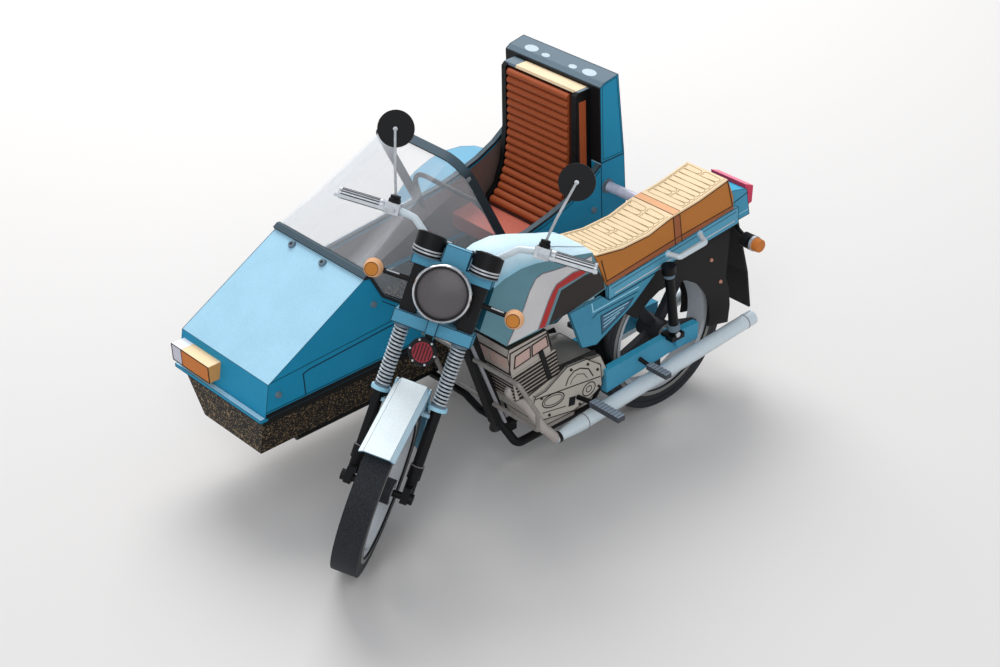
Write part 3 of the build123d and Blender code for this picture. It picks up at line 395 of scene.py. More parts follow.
class Piece:
    """Gathers the faces of one piece, in millimetres of its own frame."""

    def __init__(self, place=BIKE, mirrored=False):
        self.place, self.mirrored = place, mirrored
        self.points, self.faces, self.finish_of, self.finishes = [], [], [], []

    def add(self, points, faces, finish):
        self.points += [Vector(p) for p in points]
        self.join_last(len(points), faces, finish)

    def join_last(self, count, faces, finish):
        """More faces over the points that were added last."""
        if finish not in self.finishes:
            self.finishes.append(finish)
        start = len(self.points) - count
        self.faces += [[start + i for i in face] for face in faces]
        self.finish_of += [self.finishes.index(finish)] * len(faces)

    def plate(self, outline, low, high, finish, axis=0):
        """A flat outline as thick as a span; axis is the one it is flat across."""
        n = len(outline)
        points = [[*p[:axis], depth, *p[axis:]] for depth in (low, high) for p in outline]
        sides = [(i, (i + 1) % n, n + (i + 1) % n, n + i) for i in range(n)]
        self.add(points, [tuple(range(n)), tuple(range(2 * n - 1, n - 1, -1)), *sides], finish)

    def patch(self, outline, level, proud, finish):
        """A flat shape printed on a level."""
        self.plate(outline, level - SUNK, level + proud, finish)

    def box(self, x, y, z, finish):
        self.plate([(y[0], z[0]), (y[1], z[0]), (y[1], z[1]), (y[0], z[1])], x[0], x[1], finish)

    def wall(self, low, high, finish, top_finish=None):
        """A skin between two rings of as many points, closed at both ends."""
        n = len(low)
        sides = [(k, (k + 1) % n, n + (k + 1) % n, n + k) for k in range(n)]
        self.add(low + high, sides + [tuple(range(n))], finish)
        self.join_last(2 * n, [tuple(range(n, 2 * n))], top_finish or finish)

    def line(self, points, width, level, finish, closed=False, proud=PROUD):
        """A printed line: a low strip along a run of points."""
        left, right = [], []
        for back, here, ahead in neighbours([Vector(p) for p in points], closed):
            first, second = (here - back).normalized(), (ahead - here).normalized()
            run = (first + second).normalized()
            side = Vector((-run.y, run.x))
            lead = second if second.length else first
            reach = width / 2 / max(0.35, abs(side.dot(Vector((-lead.y, lead.x)))))
            left.append(here + side * reach)
            right.append(here - side * reach)
        n = len(points)
        for i in range(n if closed else n - 1):
            j = (i + 1) % n
            self.plate([left[i], left[j], right[j], right[i]], level, level + proud, finish)

    def lines(self, level, *rows):
        """Printed lines on a level; each row is a width, a finish, how proud it stands and its points."""
        for width, finish, proud, points in rows:
            self.line(points, width, level, finish, proud=proud)

    def tube(self, path, radius, finish, sides=12, closed=False):
        """A round bar along a path; the radius may be one for each point."""
        path = [Vector(p) for p in path]
        n = len(path)
        radii = radius if isinstance(radius, list) else [radius] * n
        runs = [(ahead - back).normalized() for back, _, ahead in neighbours(path, closed)]
        side = runs[0].orthogonal().normalized()
        points = []
        for here, run, r in zip(path, runs, radii):
            side = (side - run * side.dot(run)).normalized()
            other = run.cross(side)
            points += [here + (side * c + other * s) * r for c, s in circle(1.0, sides)]
        faces = []
        for i in range(n if closed else n - 1):
            a, b = i * sides, (i + 1) % n * sides
            faces += [(a + k, a + (k + 1) % sides, b + (k + 1) % sides, b + k) for k in range(sides)]
        if not closed:
            faces += [tuple(range(sides)), tuple(range((n - 1) * sides, n * sides))]
        self.add(points, faces, finish)

    def turned(self, profile, centre, axis, finish, steps=40):
        """A closed outline of (radius, along) points turned about an axis through a centre."""
        axis, centre = Vector(axis).normalized(), Vector(centre)
        side = axis.orthogonal().normalized()
        other = axis.cross(side)
        points, rows = [], []
        for radius, depth in profile:
            ring = circle(1.0, steps)[:1 if radius == 0 else steps]
            rows.append(range(len(points), len(points) + len(ring)))
            points += [centre + axis * depth + (side * c + other * s) * radius for c, s in ring]
        faces = []
        for first, second in zip(rows, rows[1:] + rows[:1]):
            for k in range(steps if len(first) + len(second) > 2 else 0):
                j = (k + 1) % steps
                corners = [row[i % len(row)] for row, i in ((first, k), (first, j), (second, j), (second, k))]
                face = tuple(dict.fromkeys(corners))
                if len(face) > 2:
                    faces.append(face)
        self.add(points, faces, finish)

    def drum(self, centre, axis, radius, low, high, finish, steps=32, bore=0.0):
        """A round drum, or a ring if it has a bore, from low to high along its axis."""
        self.turned([(bore, low), (radius, low), (radius, high), (bore, high)], centre, axis, finish, steps)

    def loft(self, rings, finish_at):
        """A skin over rings of as many points each; finish_at(strip, ring) gives each face's finish."""
        n = len(rings[0])
        for k in range(n):
            for i, (first, second) in enumerate(zip(rings, rings[1:])):
                j = (k + 1) % n
                self.add([first[k], first[j], second[j], second[k]], [(0, 1, 2, 3)], finish_at(k, i))
        for end in (rings[0], rings[-1]):
            self.add(end, [tuple(range(n))], finish_at(-1, 0))

    def done(self, name, slot, stands_for=(), bevel=0.0, weld=False):
        points, faces, finish_of = list(self.points), list(self.faces), list(self.finish_of)
        if self.mirrored:
            points += [Vector((-p.x, p.y, p.z)) for p in self.points]
            faces += [[len(self.points) + i for i in reversed(face)] for face in self.faces]
            finish_of += self.finish_of
        mesh = bpy.data.meshes.new(name)
        mesh.from_pydata([self.place.matrix @ (p * MM) for p in points], [], faces)
        for finish in self.finishes:
            mesh.materials.append(finish)
        mesh.polygons.foreach_set("material_index", finish_of)
        bm = bmesh.new()
        bm.from_mesh(mesh)
        if weld:
            bmesh.ops.remove_doubles(bm, verts=bm.verts, dist=WELD)
        bmesh.ops.recalc_face_normals(bm, faces=bm.faces)
        bm.to_mesh(mesh)
        bm.free()
        return keep(name, mesh, self.place.body, stands_for, bevel)


def pair(place=BIKE):
    """A piece that is the same on both sides of its frame's middle."""
    return Piece(place, mirrored=True)


# ---- node trees for what repeats or follows an edge ----
class Tree:
    """A Geometry Nodes tree with a geometry to work on and a named input for each size."""

    def __init__(self, name, **sizes):
        self.tree = bpy.data.node_groups.new(name, "GeometryNodeTree")
        sockets = self.tree.interface
        sockets.new_socket("Geometry", in_out="INPUT", socket_type="NodeSocketGeometry")
        for size, value in sizes.items():
            kind = "NodeSocketInt" if isinstance(value, int) else "NodeSocketFloat"
            sockets.new_socket(size, in_out="INPUT", socket_type=kind).default_value = value
        sockets.new_socket("Finish", in_out="INPUT", socket_type="NodeSocketMaterial")
        sockets.new_socket("Geometry", in_out="OUTPUT", socket_type="NodeSocketGeometry")
        self.given = self.tree.nodes.new("NodeGroupInput").outputs

    def add(self, kind, inputs, **settings):
        """A new node's first output."""
        return node(self.tree, kind, inputs, **settings)[0]

    def wire(self, path, radius, resolution):
        """A round wire along a curve."""
        sizes = {"Resolution": resolution, "Radius": radius}
        ring = self.add("GeometryNodeCurvePrimitiveCircle", sizes, mode="RADIUS")
        return self.add("GeometryNodeCurveToMesh", {"Curve": path, "Profile Curve": ring, "Fill Caps": True})

    def stood_on(self, spots, shape, aim):
        """A shape on each spot, turned along an aim."""
        turn = self.add("FunctionNodeAlignRotationToVector", {"Vector": aim}, axis="Z")
        inputs = {"Points": spots, "Instance": shape, "Rotation": turn}
        return self.add("GeometryNodeInstanceOnPoints", inputs)

    def end(self, geometry):
        real = self.add("GeometryNodeRealizeInstances", {"Geometry": geometry})
        out = self.add("GeometryNodeSetMaterial", {"Geometry": real, "Material": self.given["Finish"]})
        self.tree.links.new(out, self.tree.nodes.new("NodeGroupOutput").inputs[0])
        return self.tree


def stud_tree():
    """A small round stud, rivet or bolt head on each point, standing along the point's aim."""
    t = Tree("studs", Foot=0.0005, Top=0.0003, Height=0.0003, Sides=12)
    g = t.given
    sizes = {"Vertices": g["Sides"], "Radius Top": g["Top"], "Radius Bottom": g["Foot"], "Depth": g["Height"]}
    aim = t.add("GeometryNodeInputNamedAttribute", {"Name": "aim"}, data_type="FLOAT_VECTOR")
    return t.end(t.stood_on(g["Geometry"], t.add("GeometryNodeMeshCone", sizes), aim))


def coil_tree():
    """A close-wound wire spring that stands on the ground at the origin."""
    t = Tree("wound_spring", Radius=0.002, Wire=0.0003, Length=0.02, Turns=18.0)
    g = t.given
    sizes = {"Resolution": 22, "Rotations": g["Turns"], "Height": g["Length"],
             "Start Radius": g["Radius"], "End Radius": g["Radius"]}
    return t.end(t.wire(t.add("GeometryNodeCurveSpiral", sizes), g["Wire"], 7))


def edge_tree():
    """A thin line of ink along every edge it is given."""
    t = Tree("edge_ink", Width=0.0001)
    return t.end(t.wire(t.add("GeometryNodeMeshToCurve", {"Mesh": t.given["Geometry"]}), t.given["Width"], 6))


def rib_tree():
    """Round ribs across the model, evenly spaced along a line."""
    t = Tree("cross_ribs", Count=17, Radius=0.001, Length=0.03)
    g = t.given
    path = t.add("GeometryNodeMeshToCurve", {"Mesh": g["Geometry"]})
    spots = t.add("GeometryNodeResampleCurve", {"Curve": path, "Count": g["Count"]}, mode="COUNT")
    roll = t.add("GeometryNodeMeshCylinder", {"Vertices": 14, "Radius": g["Radius"], "Depth": g["Length"]})
    return t.end(t.stood_on(spots, roll, ACROSS))


STUDS, COIL, EDGE_INK, RIBS = stud_tree(), coil_tree(), edge_tree(), rib_tree()


def grown(name, tree, base, finish, **sizes):
    """What a node tree makes of a base mesh, as a plain mesh."""
    obj = link(bpy.data.objects.new(name, base))
    step = obj.modifiers.new("grow", "NODES")
    step.node_group = tree
    inputs = [s for s in tree.interface.items_tree if s.item_type == "SOCKET" and s.in_out == "INPUT"]
    key = {s.name: s.identifier for s in inputs}
    for size, value in sizes.items():
        step[key[size]] = value
    step[key["Finish"]] = finish
    ready = obj.evaluated_get(bpy.context.evaluated_depsgraph_get())
    mesh = bpy.data.meshes.new_from_object(ready)
    bpy.data.objects.remove(obj)
    return mesh


def on_both_sides(x, spots):
    """The same spots on the left and the right face, each aimed outwards."""
    return [((side * x, y, z), (side, 0, 0)) for side in (1, -1) for y, z in spots]


def studs(name, spots, foot, height, finish, place=BIKE, top=0.7, sides=12):
    """A stud on each spot, standing in the direction it is aimed in."""
    base = bpy.data.meshes.new(name)
    base.from_pydata([place.matrix @ (Vector(p) * MM) for p, _ in spots], [], [])
    aims = base.attributes.new("aim", "FLOAT_VECTOR", "POINT")
    turn = place.matrix.to_3x3()
    aims.data.foreach_set("vector", [c for _, aim in spots for c in (turn @ Vector(aim)).normalized()])
    sizes = {"Foot": foot * MM, "Top": foot * top * MM, "Height": height * MM, "Sides": sides}
    keep(name, grown(name, STUDS, base, finish, **sizes), place.body)


def ink_edges(source, finish, width, fold=28, body="chassis", where=lambda spot: True):
    """The cut edges of a card piece, drawn as a fine line along the folds that lie where asked."""
    bm = bmesh.new()
    bm.from_mesh(source.data)
    bmesh.ops.remove_doubles(bm, verts=bm.verts, dist=WELD)
    ends = []
    for edge in bm.edges:
        spots = [v.co.copy() for v in edge.verts]
        folded = len(edge.link_faces) == 2 and edge.calc_face_angle() > math.radians(fold)
        if folded and all(map(where, spots)):
            ends += spots
    bm.free()
    name = source.name + "_edges"
    base = bpy.data.meshes.new(name)
    base.from_pydata(ends, [(i, i + 1) for i in range(0, len(ends), 2)], [])
    keep(name, grown(name, EDGE_INK, base, finish, Width=width * MM), body)


# ---- tank ----
# Each row of TANK: how far back, then the height of the lower edge, of the fold and of the ridge.
TANK = [(-22.5, 69, 69.5, 70), (-16, 63.1, 82.2, 88.2), (-11.9, 59, 83.6, 91), (-4.8, 58.9, 84.6, 90.9),
        (1.9, 58.8, 83.9, 89), (14, 59.8, 81.4, 84.5), (26.3, 61.1, 78.2, 79), (32.1, 62.3, 63, 63.4)]
TANK_X = 9.8
SHOULDER_SHARE = 0.62


def shoulder(fold, ridge):
    """The height of the tank's middle fold."""
    return fold + SHOULDER_SHARE * (ridge - fold)


def tank():
    rings = []
    for y, low, fold, ridge in TANK:
        half = [(TANK_X, low), (TANK_X, fold), (7.6, shoulder(fold, ridge)), (4.6, ridge)]
        rings.append([(x, y, z) for x, z in half + [(-x, z) for x, z in half[::-1]]])
    box = Piece()
    # Painted light on the tank: painted shade on the grey-blue sides and, in deep blue, on the front faces; a
    # painted highlight on the pale top and shoulders.
    box.loft(rings, lambda k, i: TANK_SHADED_SIDE if k in (0, 6, 7, -1) else DEEP_BLUE if i == 0 else TANK_LIT_TOP)
    box.done("tank_card", "sky_card", ("tank",), weld=True)


def tank_stripes():
    white = [(-11.7, 59.2), (-4.1, 69.9), (-1.5, 74.9), (1.4, 78.5), (4.2, 79.2), (9.7, 78.4), (21.1, 77),
             (26, 77.1)]
    red = [(1.8, 59.5), (6.3, 67.9), (8.3, 70.9), (10.3, 72.9), (17.4, 74.3), (25.9, 73.6)]
    red_end = [(4.9, 59.2), (9.6, 67.9), (11.1, 70.7), (21.3, 71.6), (26.2, 72.4)]
    dark = [(6.5, 59.3), (10.7, 67), (12.2, 69.7), (23, 71.1), (28.7, 70.6), (31, 66.3), (31.6, 62.6),
            (15.9, 60.1)]
    folds = pair()
    ridge_line = [(6.2, y, 0.5 * (ridge + shoulder(fold, ridge)) + 0.03) for y, _, fold, ridge in TANK[2:7]]
    folds.tube(ridge_line, 0.1, BAND_GREY, 5)
    folds.done("tank_top_lines", "sky_card")
    stripes = pair()
    stripes.patch(white + red[::-1], TANK_X, 0.06, BAND_WHITE)
    stripes.patch(red + red_end[::-1], TANK_X, 0.09, BAND_RED)
    stripes.patch(dark, TANK_X, 0.06, TANK_SHADOW)
    stripes.lines(TANK_X, (0.4, BAND_GREY, 0.12, white), (0.45, BAND_GREY, 0.13, red),
                  (0.4, BAND_GREY, 0.13, red_end))
    stripes.done("tank_stripes", "sky_card")


# ---- seat ----
SEAT_TOP = [(27.4, 76.6), (40, 74.6), (52.3, 74.8), (62.2, 77.2), (75.7, 78.6), (90.2, 81.4)]
SEAT_X = 9.8
STRAP_Y = (64, 67.2)
ROWS_Y, NO_ROWS_Y = (30.6, 87.5), (60.6, 68.4)
ROW_STEP, ROW_LONG, ROW_HALF = 2.45, 1.5, 7.6
SEAM_X, SEAMS_Y = 8.6, ((30, 40, 52.3, 62.2), (69, 75.7, 89.6))


def seat():
    cushion = Piece()
    under = [(93.1, 73.9), (93.4, 68.8), (87.2, 68.2), (59.8, 65.4), (32.9, 62.8)]
    cushion.plate(SEAT_TOP + under, -SEAT_X, SEAT_X, SEAT_CARD)
    cushion.done("seat_cushion", "seat_card", ("seat",), 0.45)
    trim = pair()
    hem = [(32.6, 64.6), (64.7, 68.1), (88.4, 69.8), (92.8, 70), (93.2, 68.9), (87.2, 68.3), (59.8, 65.5),
           (33, 63)]
    trim.patch(hem, SEAT_X, 0.07, SEAT_TRIM)
    trim.patch([(63.5, 76.9), (66.6, 77.2), (67.8, 66.4), (64.7, 66.1)], SEAT_X, 0.1, SEAT_TRIM)
    trim.lines(
        SEAT_X,
        (0.3, SEAT_LINE, 0.12, [(32.4, 64.8), (64.7, 68.2), (88.4, 69.9), (92.6, 70.2)]),
        (0.36, SEAT_LINE, 0.14, [(63.5, 77), (64.7, 65.9)]),
        (0.36, SEAT_LINE, 0.14, [(66.6, 77.2), (67.8, 66.2)]),
        (0.36, SEAT_LINE, 0.14, [(89.8, 81), (92.6, 70)]),
        (0.36, SEAT_LINE, 0.14, [(30.2, 73.6), (32.6, 64.6)]),
        (0.3, SEAT_LINE, 0.1, [(28.2, 75.9), (40, 74), (52.3, 74.2), (62.2, 76.6), (75.7, 78), (89.9, 80.7)]),
    )
    trim.done("seat_side_print", "seat_card")


def seat_top():
    """The strap, the rows of sewn loops and the long seams on the seat's top."""
    def on_top(spots, radius, finish, sides, proud=0.02, closed=False):
        top.tube([(x, y, along(SEAT_TOP, y) + proud) for x, y in spots], radius, finish, sides, closed)

    top = Piece()
    under = [(y, along(SEAT_TOP, y) - SUNK) for y in STRAP_Y]
    over = [(y, along(SEAT_TOP, y) + 0.09) for y in STRAP_Y[::-1]]
    top.plate(under + over, -SEAT_X + 0.3, SEAT_X - 0.3, STRAP)
    row, last = ROWS_Y
    while row < last:
        if not NO_ROWS_Y[0] < row < NO_ROWS_Y[1]:
            whole = round(row * 10) % 3
            for x0, x1 in [(-ROW_HALF, ROW_HALF)] if whole else [(-ROW_HALF, -1), (0.6, ROW_HALF)]:
                loop = [(x0, row, 0), (x1, row, 0), (x1, row + ROW_LONG, 0), (x0, row + ROW_LONG, 0)]
                on_top([(p.x, p.y) for p in round_loop(loop, 0.7, 3)], 0.11, STITCH, 4, closed=True)
        row += ROW_STEP
    for x in (-SEAM_X, SEAM_X):
        for seam in SEAMS_Y:
            on_top([(x, y) for y in seam], 0.1, STITCH, 4)
    for y in STRAP_Y:
        on_top([(-9.3, y), (9.3, y)], 0.13, SEAT_LINE, 5, 0.05)
    top.done("seat_top_print", "seat_card")


# ---- seat rail, side panels, tail ----
RAIL_X, PANEL_X, TAIL_X = 10.1, 10.4, 8.6


def seat_rail():
    rail = pair()
    rail.plate([(33, 62.7), (59.8, 65.3), (87.2, 68.1), (95.3, 68.8), (95.5, 62.5), (33.2, 57.6)],
               8.4, RAIL_X, RAIL_BLUE)
    rail.plate([(93.6, 62.6), (95.4, 62.6), (95.4, 68.7), (93.6, 68.7)], 0, 8.4, RAIL_BLUE)
    ink_edges(rail.done("seat_rail_card", "blue_card", ("seat_rail",)), DUSK_BLUE, 0.1)
    marks = pair()
    marks.lines(RAIL_X, (0.35, BAND_WHITE, 0.06, [(36, 59), (93.6, 64)]),
                (0.2, DUSK_BLUE, 0.06, [(34.4, 61.4), (60, 63.9), (94.2, 67.4)]))
    marks.done("seat_rail_print", "blue_card")


def side_panels():
    panel = pair()
    panel.plate([(15, 60), (20.4, 44.4), (27, 43), (43.9, 51.2), (54.9, 59.2), (33.1, 57.5), (29.9, 60.3)],
                9.2, PANEL_X, PANEL_BLUE)
    ink_edges(panel.done("side_panel_card", "blue_card", ("side_panels",)), DUSK_BLUE, 0.1)
    recess = [(29.1, 53.2), (44.2, 53.9), (41.6, 51.4), (29.5, 46.1)]
    louvres = pair()
    louvres.plate(recess, 10.3, 10.46, RECESS_BLUE)
    louvres.plate([(17.4, 57.6), (21.2, 46.6), (26.2, 45.4), (24.4, 58.4)], 10.3, 10.45, SKY)
    louvres.lines(PANEL_X, (0.5, PALE_BLUE, PROUD, [(25.1, 59.6), (25.6, 56.1), (46.8, 57.1)]),
                  (0.3, DUSK_BLUE, PROUD, [(25.3, 53.8), (27.3, 54.9), (46.4, 55.5)]))
    louvres.line(recess, 0.3, PANEL_X, DUSK_BLUE, closed=True, proud=0.1)
    for k in range(4):
        louvres.line([(30.3, 48.2 + 1.4 * k), (35.6 + 2.1 * k, 50.0 + 1.05 * k)], 0.35, 10.46, PALE_BLUE)
    louvres.done("side_panel_print", "blue_card")


def tail():
    box = Piece()
    box.plate([(94.8, 75), (93.4, 75), (93.4, 63), (95.5, 62.4), (102.6, 62.9), (102, 66.8), (101, 73.2)],
              -TAIL_X, TAIL_X, LINK_BLUE)
    ink_edges(box.done("tail_card", "blue_card", bevel=0.15), DUSK_BLUE, 0.09)
    lamp = Piece()
    lamp.plate([(102, 66.4), (104.2, 66.9), (104.7, 73.2), (100.6, 75.1)], -8.3, 8.3, RED)
    lamp.done("tail_lamp_card", "red", ("tail_lamp",), 0.2)
    marks = pair()
    marks.lines(TAIL_X, (0.35, DUSK_BLUE, PROUD, [(88.8, 68.9), (96.4, 70.6), (101.6, 71.8)]),
                (0.3, PALE_BLUE, PROUD, [(96, 64.6), (101.9, 65)]))
    marks.done("tail_print", "blue_card")


# ---- engine ----
HEAD_X, COVER_X = 9.6, 11.0
FIN_COUNT, FIN_PITCH = 7, 1.42
FRONT_FIN_COUNT, FRONT_FIN_PITCH = 8, 1.36
PORT_LOW, PORT_HIGH = 49.2, 53.6
HEAD_FRONT_Y, HEAD_FRONT_Z, HEAD_SLANT = -8.8, 36.4, 0.148


def engine():
    head = [(-11.5, 54.6), (-10.8, 57), (5.4, 57.6), (9.4, 39.4), (-3.6, 36), (-8.8, 36.4)]
    case = [(-3.6, 36), (9.4, 39.4), (29, 37.7), (32, 30.8), (23.6, 20.8), (3.4, 21.4), (-2.6, 26.8)]
    sump = [(0.2, 25.9), (20.4, 25.9), (17.8, 18.2), (3.8, 18.2)]
    block = Piece()
    for outline, half, finish in ((head, HEAD_X, ENGINE_CARD), (case, 10, ENGINE), (sump, 8.6, ENGINE)):
        block.plate(outline, -half, half, finish)
    done = block.done("engine_card", "engine_card", ("engine", "cylinder_fins", "engine_covers"), 0.25)
    ink_edges(done, ENGINE_LINE, 0.12)


def cylinder_fins():
    fins = pair()
    for k in range(FIN_COUNT):
        ahead, back, z = -10.0 + 0.45 * k, 9.0 + 0.28 * k, 46.0 - FIN_PITCH * k
        fins.plate([(ahead, z - 0.1), (back, z + 2.1), (back, z + 2.75), (ahead, z + 0.6)], 9.4, 9.8, ENGINE)
        gap = [(ahead, z - 0.82), (back, z + 1.4), (back, z + 2.1), (ahead, z - 0.1)]
        fins.plate([(y + 0.1, height) for y, height in gap], 9.4, 10.1, ENGINE_LINE)
    fins.plate([(1.6, 50.6), (3.3, 50.9), (6.9, 38.9), (5.2, 38.4)], 9.4, 10.3, INK)
    for quad in ([(-8.9, 49.1), (-8.3, 53.4), (-1.9, 54.4), (-1.9, 50.2)],
                 [(-1, 50.3), (-1, 54.5), (5.2, 55.4), (6, 51.4)]):
        fins.plate(quad, 9.4, 9.72, ENGINE_PINK)
        fins.line(quad, 0.42, HEAD_X, ENGINE_LINE, closed=True, proud=0.2)
    fins.line([(-11, 47.9), (-10.4, 55.4), (5.9, 56.4), (7.4, 50.4)], 0.5, HEAD_X, ENGINE_LINE, proud=0.14)
    fins.done("cylinder_fin_card", "fin_card")


def oval(y, z, wide, high, slope=0, steps=28):
    """Points round an oval that is turned by a slope."""
    c, s = math.cos(slope), math.sin(slope)
    return [(y + wide * u * c - high * v * s, z + wide * u * s + high * v * c) for u, v in circle(1, steps)]


def engine_cover():
    cover = pair()
    outline = [(-1.3, 35.1), (3.3, 35.5), (13.1, 40.5), (21.8, 39.7), (28.2, 34.8), (28.7, 26.4),
               (23.3, 23.8), (15.6, 22.2), (1.2, 24.9), (-3.1, 30.9)]
    cover.plate(outline, 9.8, COVER_X, ENGINE)
    ink_edges(cover.done("engine_cover_card", "engine_card", bevel=0.3), ENGINE_LINE, 0.13)
    marks = pair()
    marks.lines(
        COVER_X,
        (0.4, ENGINE_LINE, PROUD, [(-1.9, 34.4), (28, 30.2)]),
        (0.45, ENGINE_LINE, PROUD,
         [(12.1, 33.5), (13.4, 36), (16, 37.6), (18.9, 37.5), (22.6, 35.6), (24.6, 31.9)]),
        (0.25, ENGINE_LINE, PROUD, [(14.2, 33.2), (15.2, 34.8), (17.4, 35.8), (20.4, 34.6), (22, 32.2)]),
        (0.3, ENGINE_LINE, PROUD, [(1.6, 27.6), (12, 25.6)]),
    )
    badge, cap = (6.4, 30.6), (22.6, 27.6)
    for middle, wide, high, slope, width, proud in (
        (badge, 4.9, 2.5, -0.13, 0.4, 0.1), (badge, 4, 1.7, -0.13, 0.22, 0.1),
        (cap, 2.9, 2.4, 0.2, 0.4, PROUD), (cap, 1.3, 1.1, 0.2, 0.3, PROUD),
    ):
        marks.line(oval(*middle, wide, high, slope), width, COVER_X, ENGINE_LINE, closed=True, proud=proud)
    marks.plate([(13.1, 24.8), (15.9, 24.4), (16.5, 27.6), (13.7, 28.2)], 10.9, 11.1, INK)
    # A near-black crescent above the top of the engine cover: painted shade in the gap under the side panel.
    marks.plate([(10.6, 41.9), (26.4, 41), (27.4, 38.6), (22, 40.2), (13, 41), (10.4, 40)],
                9.8, 10.15, NEAR_BLACK)
    marks.done("engine_print", "engine_card")
    screws = ((1.2, 33.6), (-0.8, 28.2), (14.6, 38.8), (22.2, 37.6), (26.6, 33.6), (27, 26.8), (18.2, 23.6),
              (4.4, 25.6))
    studs("engine_screws", on_both_sides(COVER_X, screws), 0.55, 0.5, ENGINE_LINE)


def engine_front():
    """The ports and fins printed on the slanted front of the cylinder head."""
    def head_front(z):
        return HEAD_FRONT_Y - (z - HEAD_FRONT_Z) * HEAD_SLANT

    face = Piece()
    low, high = head_front(PORT_LOW), head_front(PORT_HIGH)
    port = [(low - 0.15, PORT_LOW), (high - 0.15, PORT_HIGH), (high + 0.3, PORT_HIGH), (low + 0.3, PORT_LOW)]
    for x0, x1 in ((-8.8, -4.9), (-4.2, -0.6), (4.9, 8.8), (0.6, 4.2)):
        face.plate(port, x0, x1, ENGINE_PINK)
    for k in range(FRONT_FIN_COUNT):
        z = 37.4 + FRONT_FIN_PITCH * k
        face.box((-9.4, 9.4), (head_front(z) - 0.2, head_front(z) + 0.3), (z, z + 0.7), ENGINE_LINE)
    top = head_front(54.4)
    face.box((-9.4, 9.4), (top - 0.2, top + 0.4), (54, 54.5), ENGINE_LINE)
    face.done("engine_front_print", "fin_card")


# ---- frame: the down tube's pale face ----
TUBE_Y, TUBE_Z, TUBE_SLANT = -18.3, 53, 0.36
TUBE_TOP, TUBE_FOOT = 70, 24


def down_tube_y(z):
    """How far back the front down tube lies at a height."""
    return TUBE_Y + (TUBE_Z - z) * TUBE_SLANT


def down_tube():
    top, foot = down_tube_y(TUBE_TOP), down_tube_y(TUBE_FOOT)
    outline = [(top - 0.2, TUBE_TOP), (foot - 0.2, TUBE_FOOT), (foot + 0.9, TUBE_FOOT), (top + 0.9, TUBE_TOP)]
    face = Piece()
    face.plate(outline, -2.7, 2.7, FRAME_GREY)
    face.done("down_tube_face", "frame_card")


# ---- exhaust, rails, crash bar, foot rests ----
SILENCER_FRONT, SILENCER_END = Vector((14, 4.5, 17.6)), Vector((14.4, 99.4, 24.6))


def exhaust():
    pipes = pair()
    bends = [(7, -5, 42.6), (7, -12.4, 41.4), (7.4, -8, 29.6), (9, 0.4, 19.2), (14, 4.5, 17.6)]
    pipes.tube(smooth_path(bends, 6, 8), 1.7, PIPE, 18)
    pipes.done("exhaust_pipe_roll", "white_silver", ("exhaust_pipes",))
    rolls = pair()
    spots = [(0, 1.75), (0.02, 1.8), (0.10, 2.62), (0.13, 2.7), (0.97, 2.7), (1, 2.6)]
    centres = [SILENCER_FRONT.lerp(SILENCER_END, share) for share, _ in spots]
    rolls.tube(centres, [radius for _, radius in spots], PALE_SILVER, 28)
    rolls.done("silencer_roll", "white_silver", ("silencers",))
    bands = pair()
    run = (SILENCER_END - SILENCER_FRONT).normalized()
    for share, radius, low, high, finish, steps, bore in (
        (0, 2, 0.4, 1.6, INK, 28, 1.2), (0.135, 2.78, 0, 0.35, BAND_GREY, 28, 2.48),
        (0.955, 2.78, 0, 0.35, BAND_GREY, 28, 2.48), (1, 2.2, 0, 0.12, NEAR_BLACK, 28, 0),
        (1, 1, 0, 0.3, INK, 20, 0),
    ):
        bands.drum(SILENCER_FRONT.lerp(SILENCER_END, share), run, radius, low, high, finish, steps, bore)
    bands.done("silencer_bands", "white_silver")


def rails_and_bars():
    grab = pair()
    ends = ((60.6, 64.2), (76.1, 65.8))
    bends = [(10.1, 60.6, 64.2), (15.6, 60.6, 63.4), (16, 76.1, 64.8), (10.1, 76.1, 65.8)]
    grab.tube(smooth_path(bends, 2.4, 6), 0.95, PALE_SILVER, 16)
    for y, z in ends:
        grab.drum((10.05, y, z), ACROSS, 1.3, 0, 0.5, PALE_BLUE, 20)
    grab.done("grab_rail_wire", "white_silver", ("grab_rails",))
    hoop = Piece()
    corners = [(28, 29.5), (-28, 29.5), (-28, 57.5), (28, 57.5)]
    path = round_loop([(x, down_tube_y(z) - 0.6, z) for x, z in corners], 5, 8)
    hoop.tube(path, 0.78, WIRE, 12, closed=True)
    hoop.done("crash_bar_wire", "frame_card", ("crash_bars",))


PEG_RIB, PEG_PITCH = 0.5, 1.5


def foot_rests():
    pegs = pair()
    pegs.box((18.2, 32), (15.9, 19.1), (26.7, 28.9), PEG)
    pegs.tube([(10.5, 17.5, 26.6), (18.4, 17.5, 27.8)], 0.9, BLACK, 10)
    pegs.box((15, 24.5), (45.6, 48.4), (26.8, 28.7), PEG)
    pegs.tube([(11.4, 46, 29.4), (15.2, 47, 27.8)], 0.8, BLACK, 10)
    for count, x, y, z in ((9, 18.8, (15.8, 19.2), 28.8), (6, 15.6, (45.5, 48.5), 28.6)):
        for k in range(count):
            pegs.box((x + PEG_PITCH * k, x + PEG_RIB + PEG_PITCH * k), y, (z, z + 0.25), SLATE)
    pegs.done("foot_rest_card", "peg_card", ("foot_rests",), 0.15)


def rear_indicators():
    cans = pair()
    centre = (0, 96, 57)
    cans.drum(centre, ACROSS, 2.75, 15.6, 17, BLACK)
    cans.drum(centre, ACROSS, 2.8, 16.9, 17.9, SILVER)
    cans.turned([(0, 17.8), (2.5, 17.8), (2.35, 20.2), (2.1, 20.5), (0, 20.5)], centre, ACROSS, ORANGE, 32)
    cans.done("rear_indicator_cans", "orange", ("rear_indicators",))


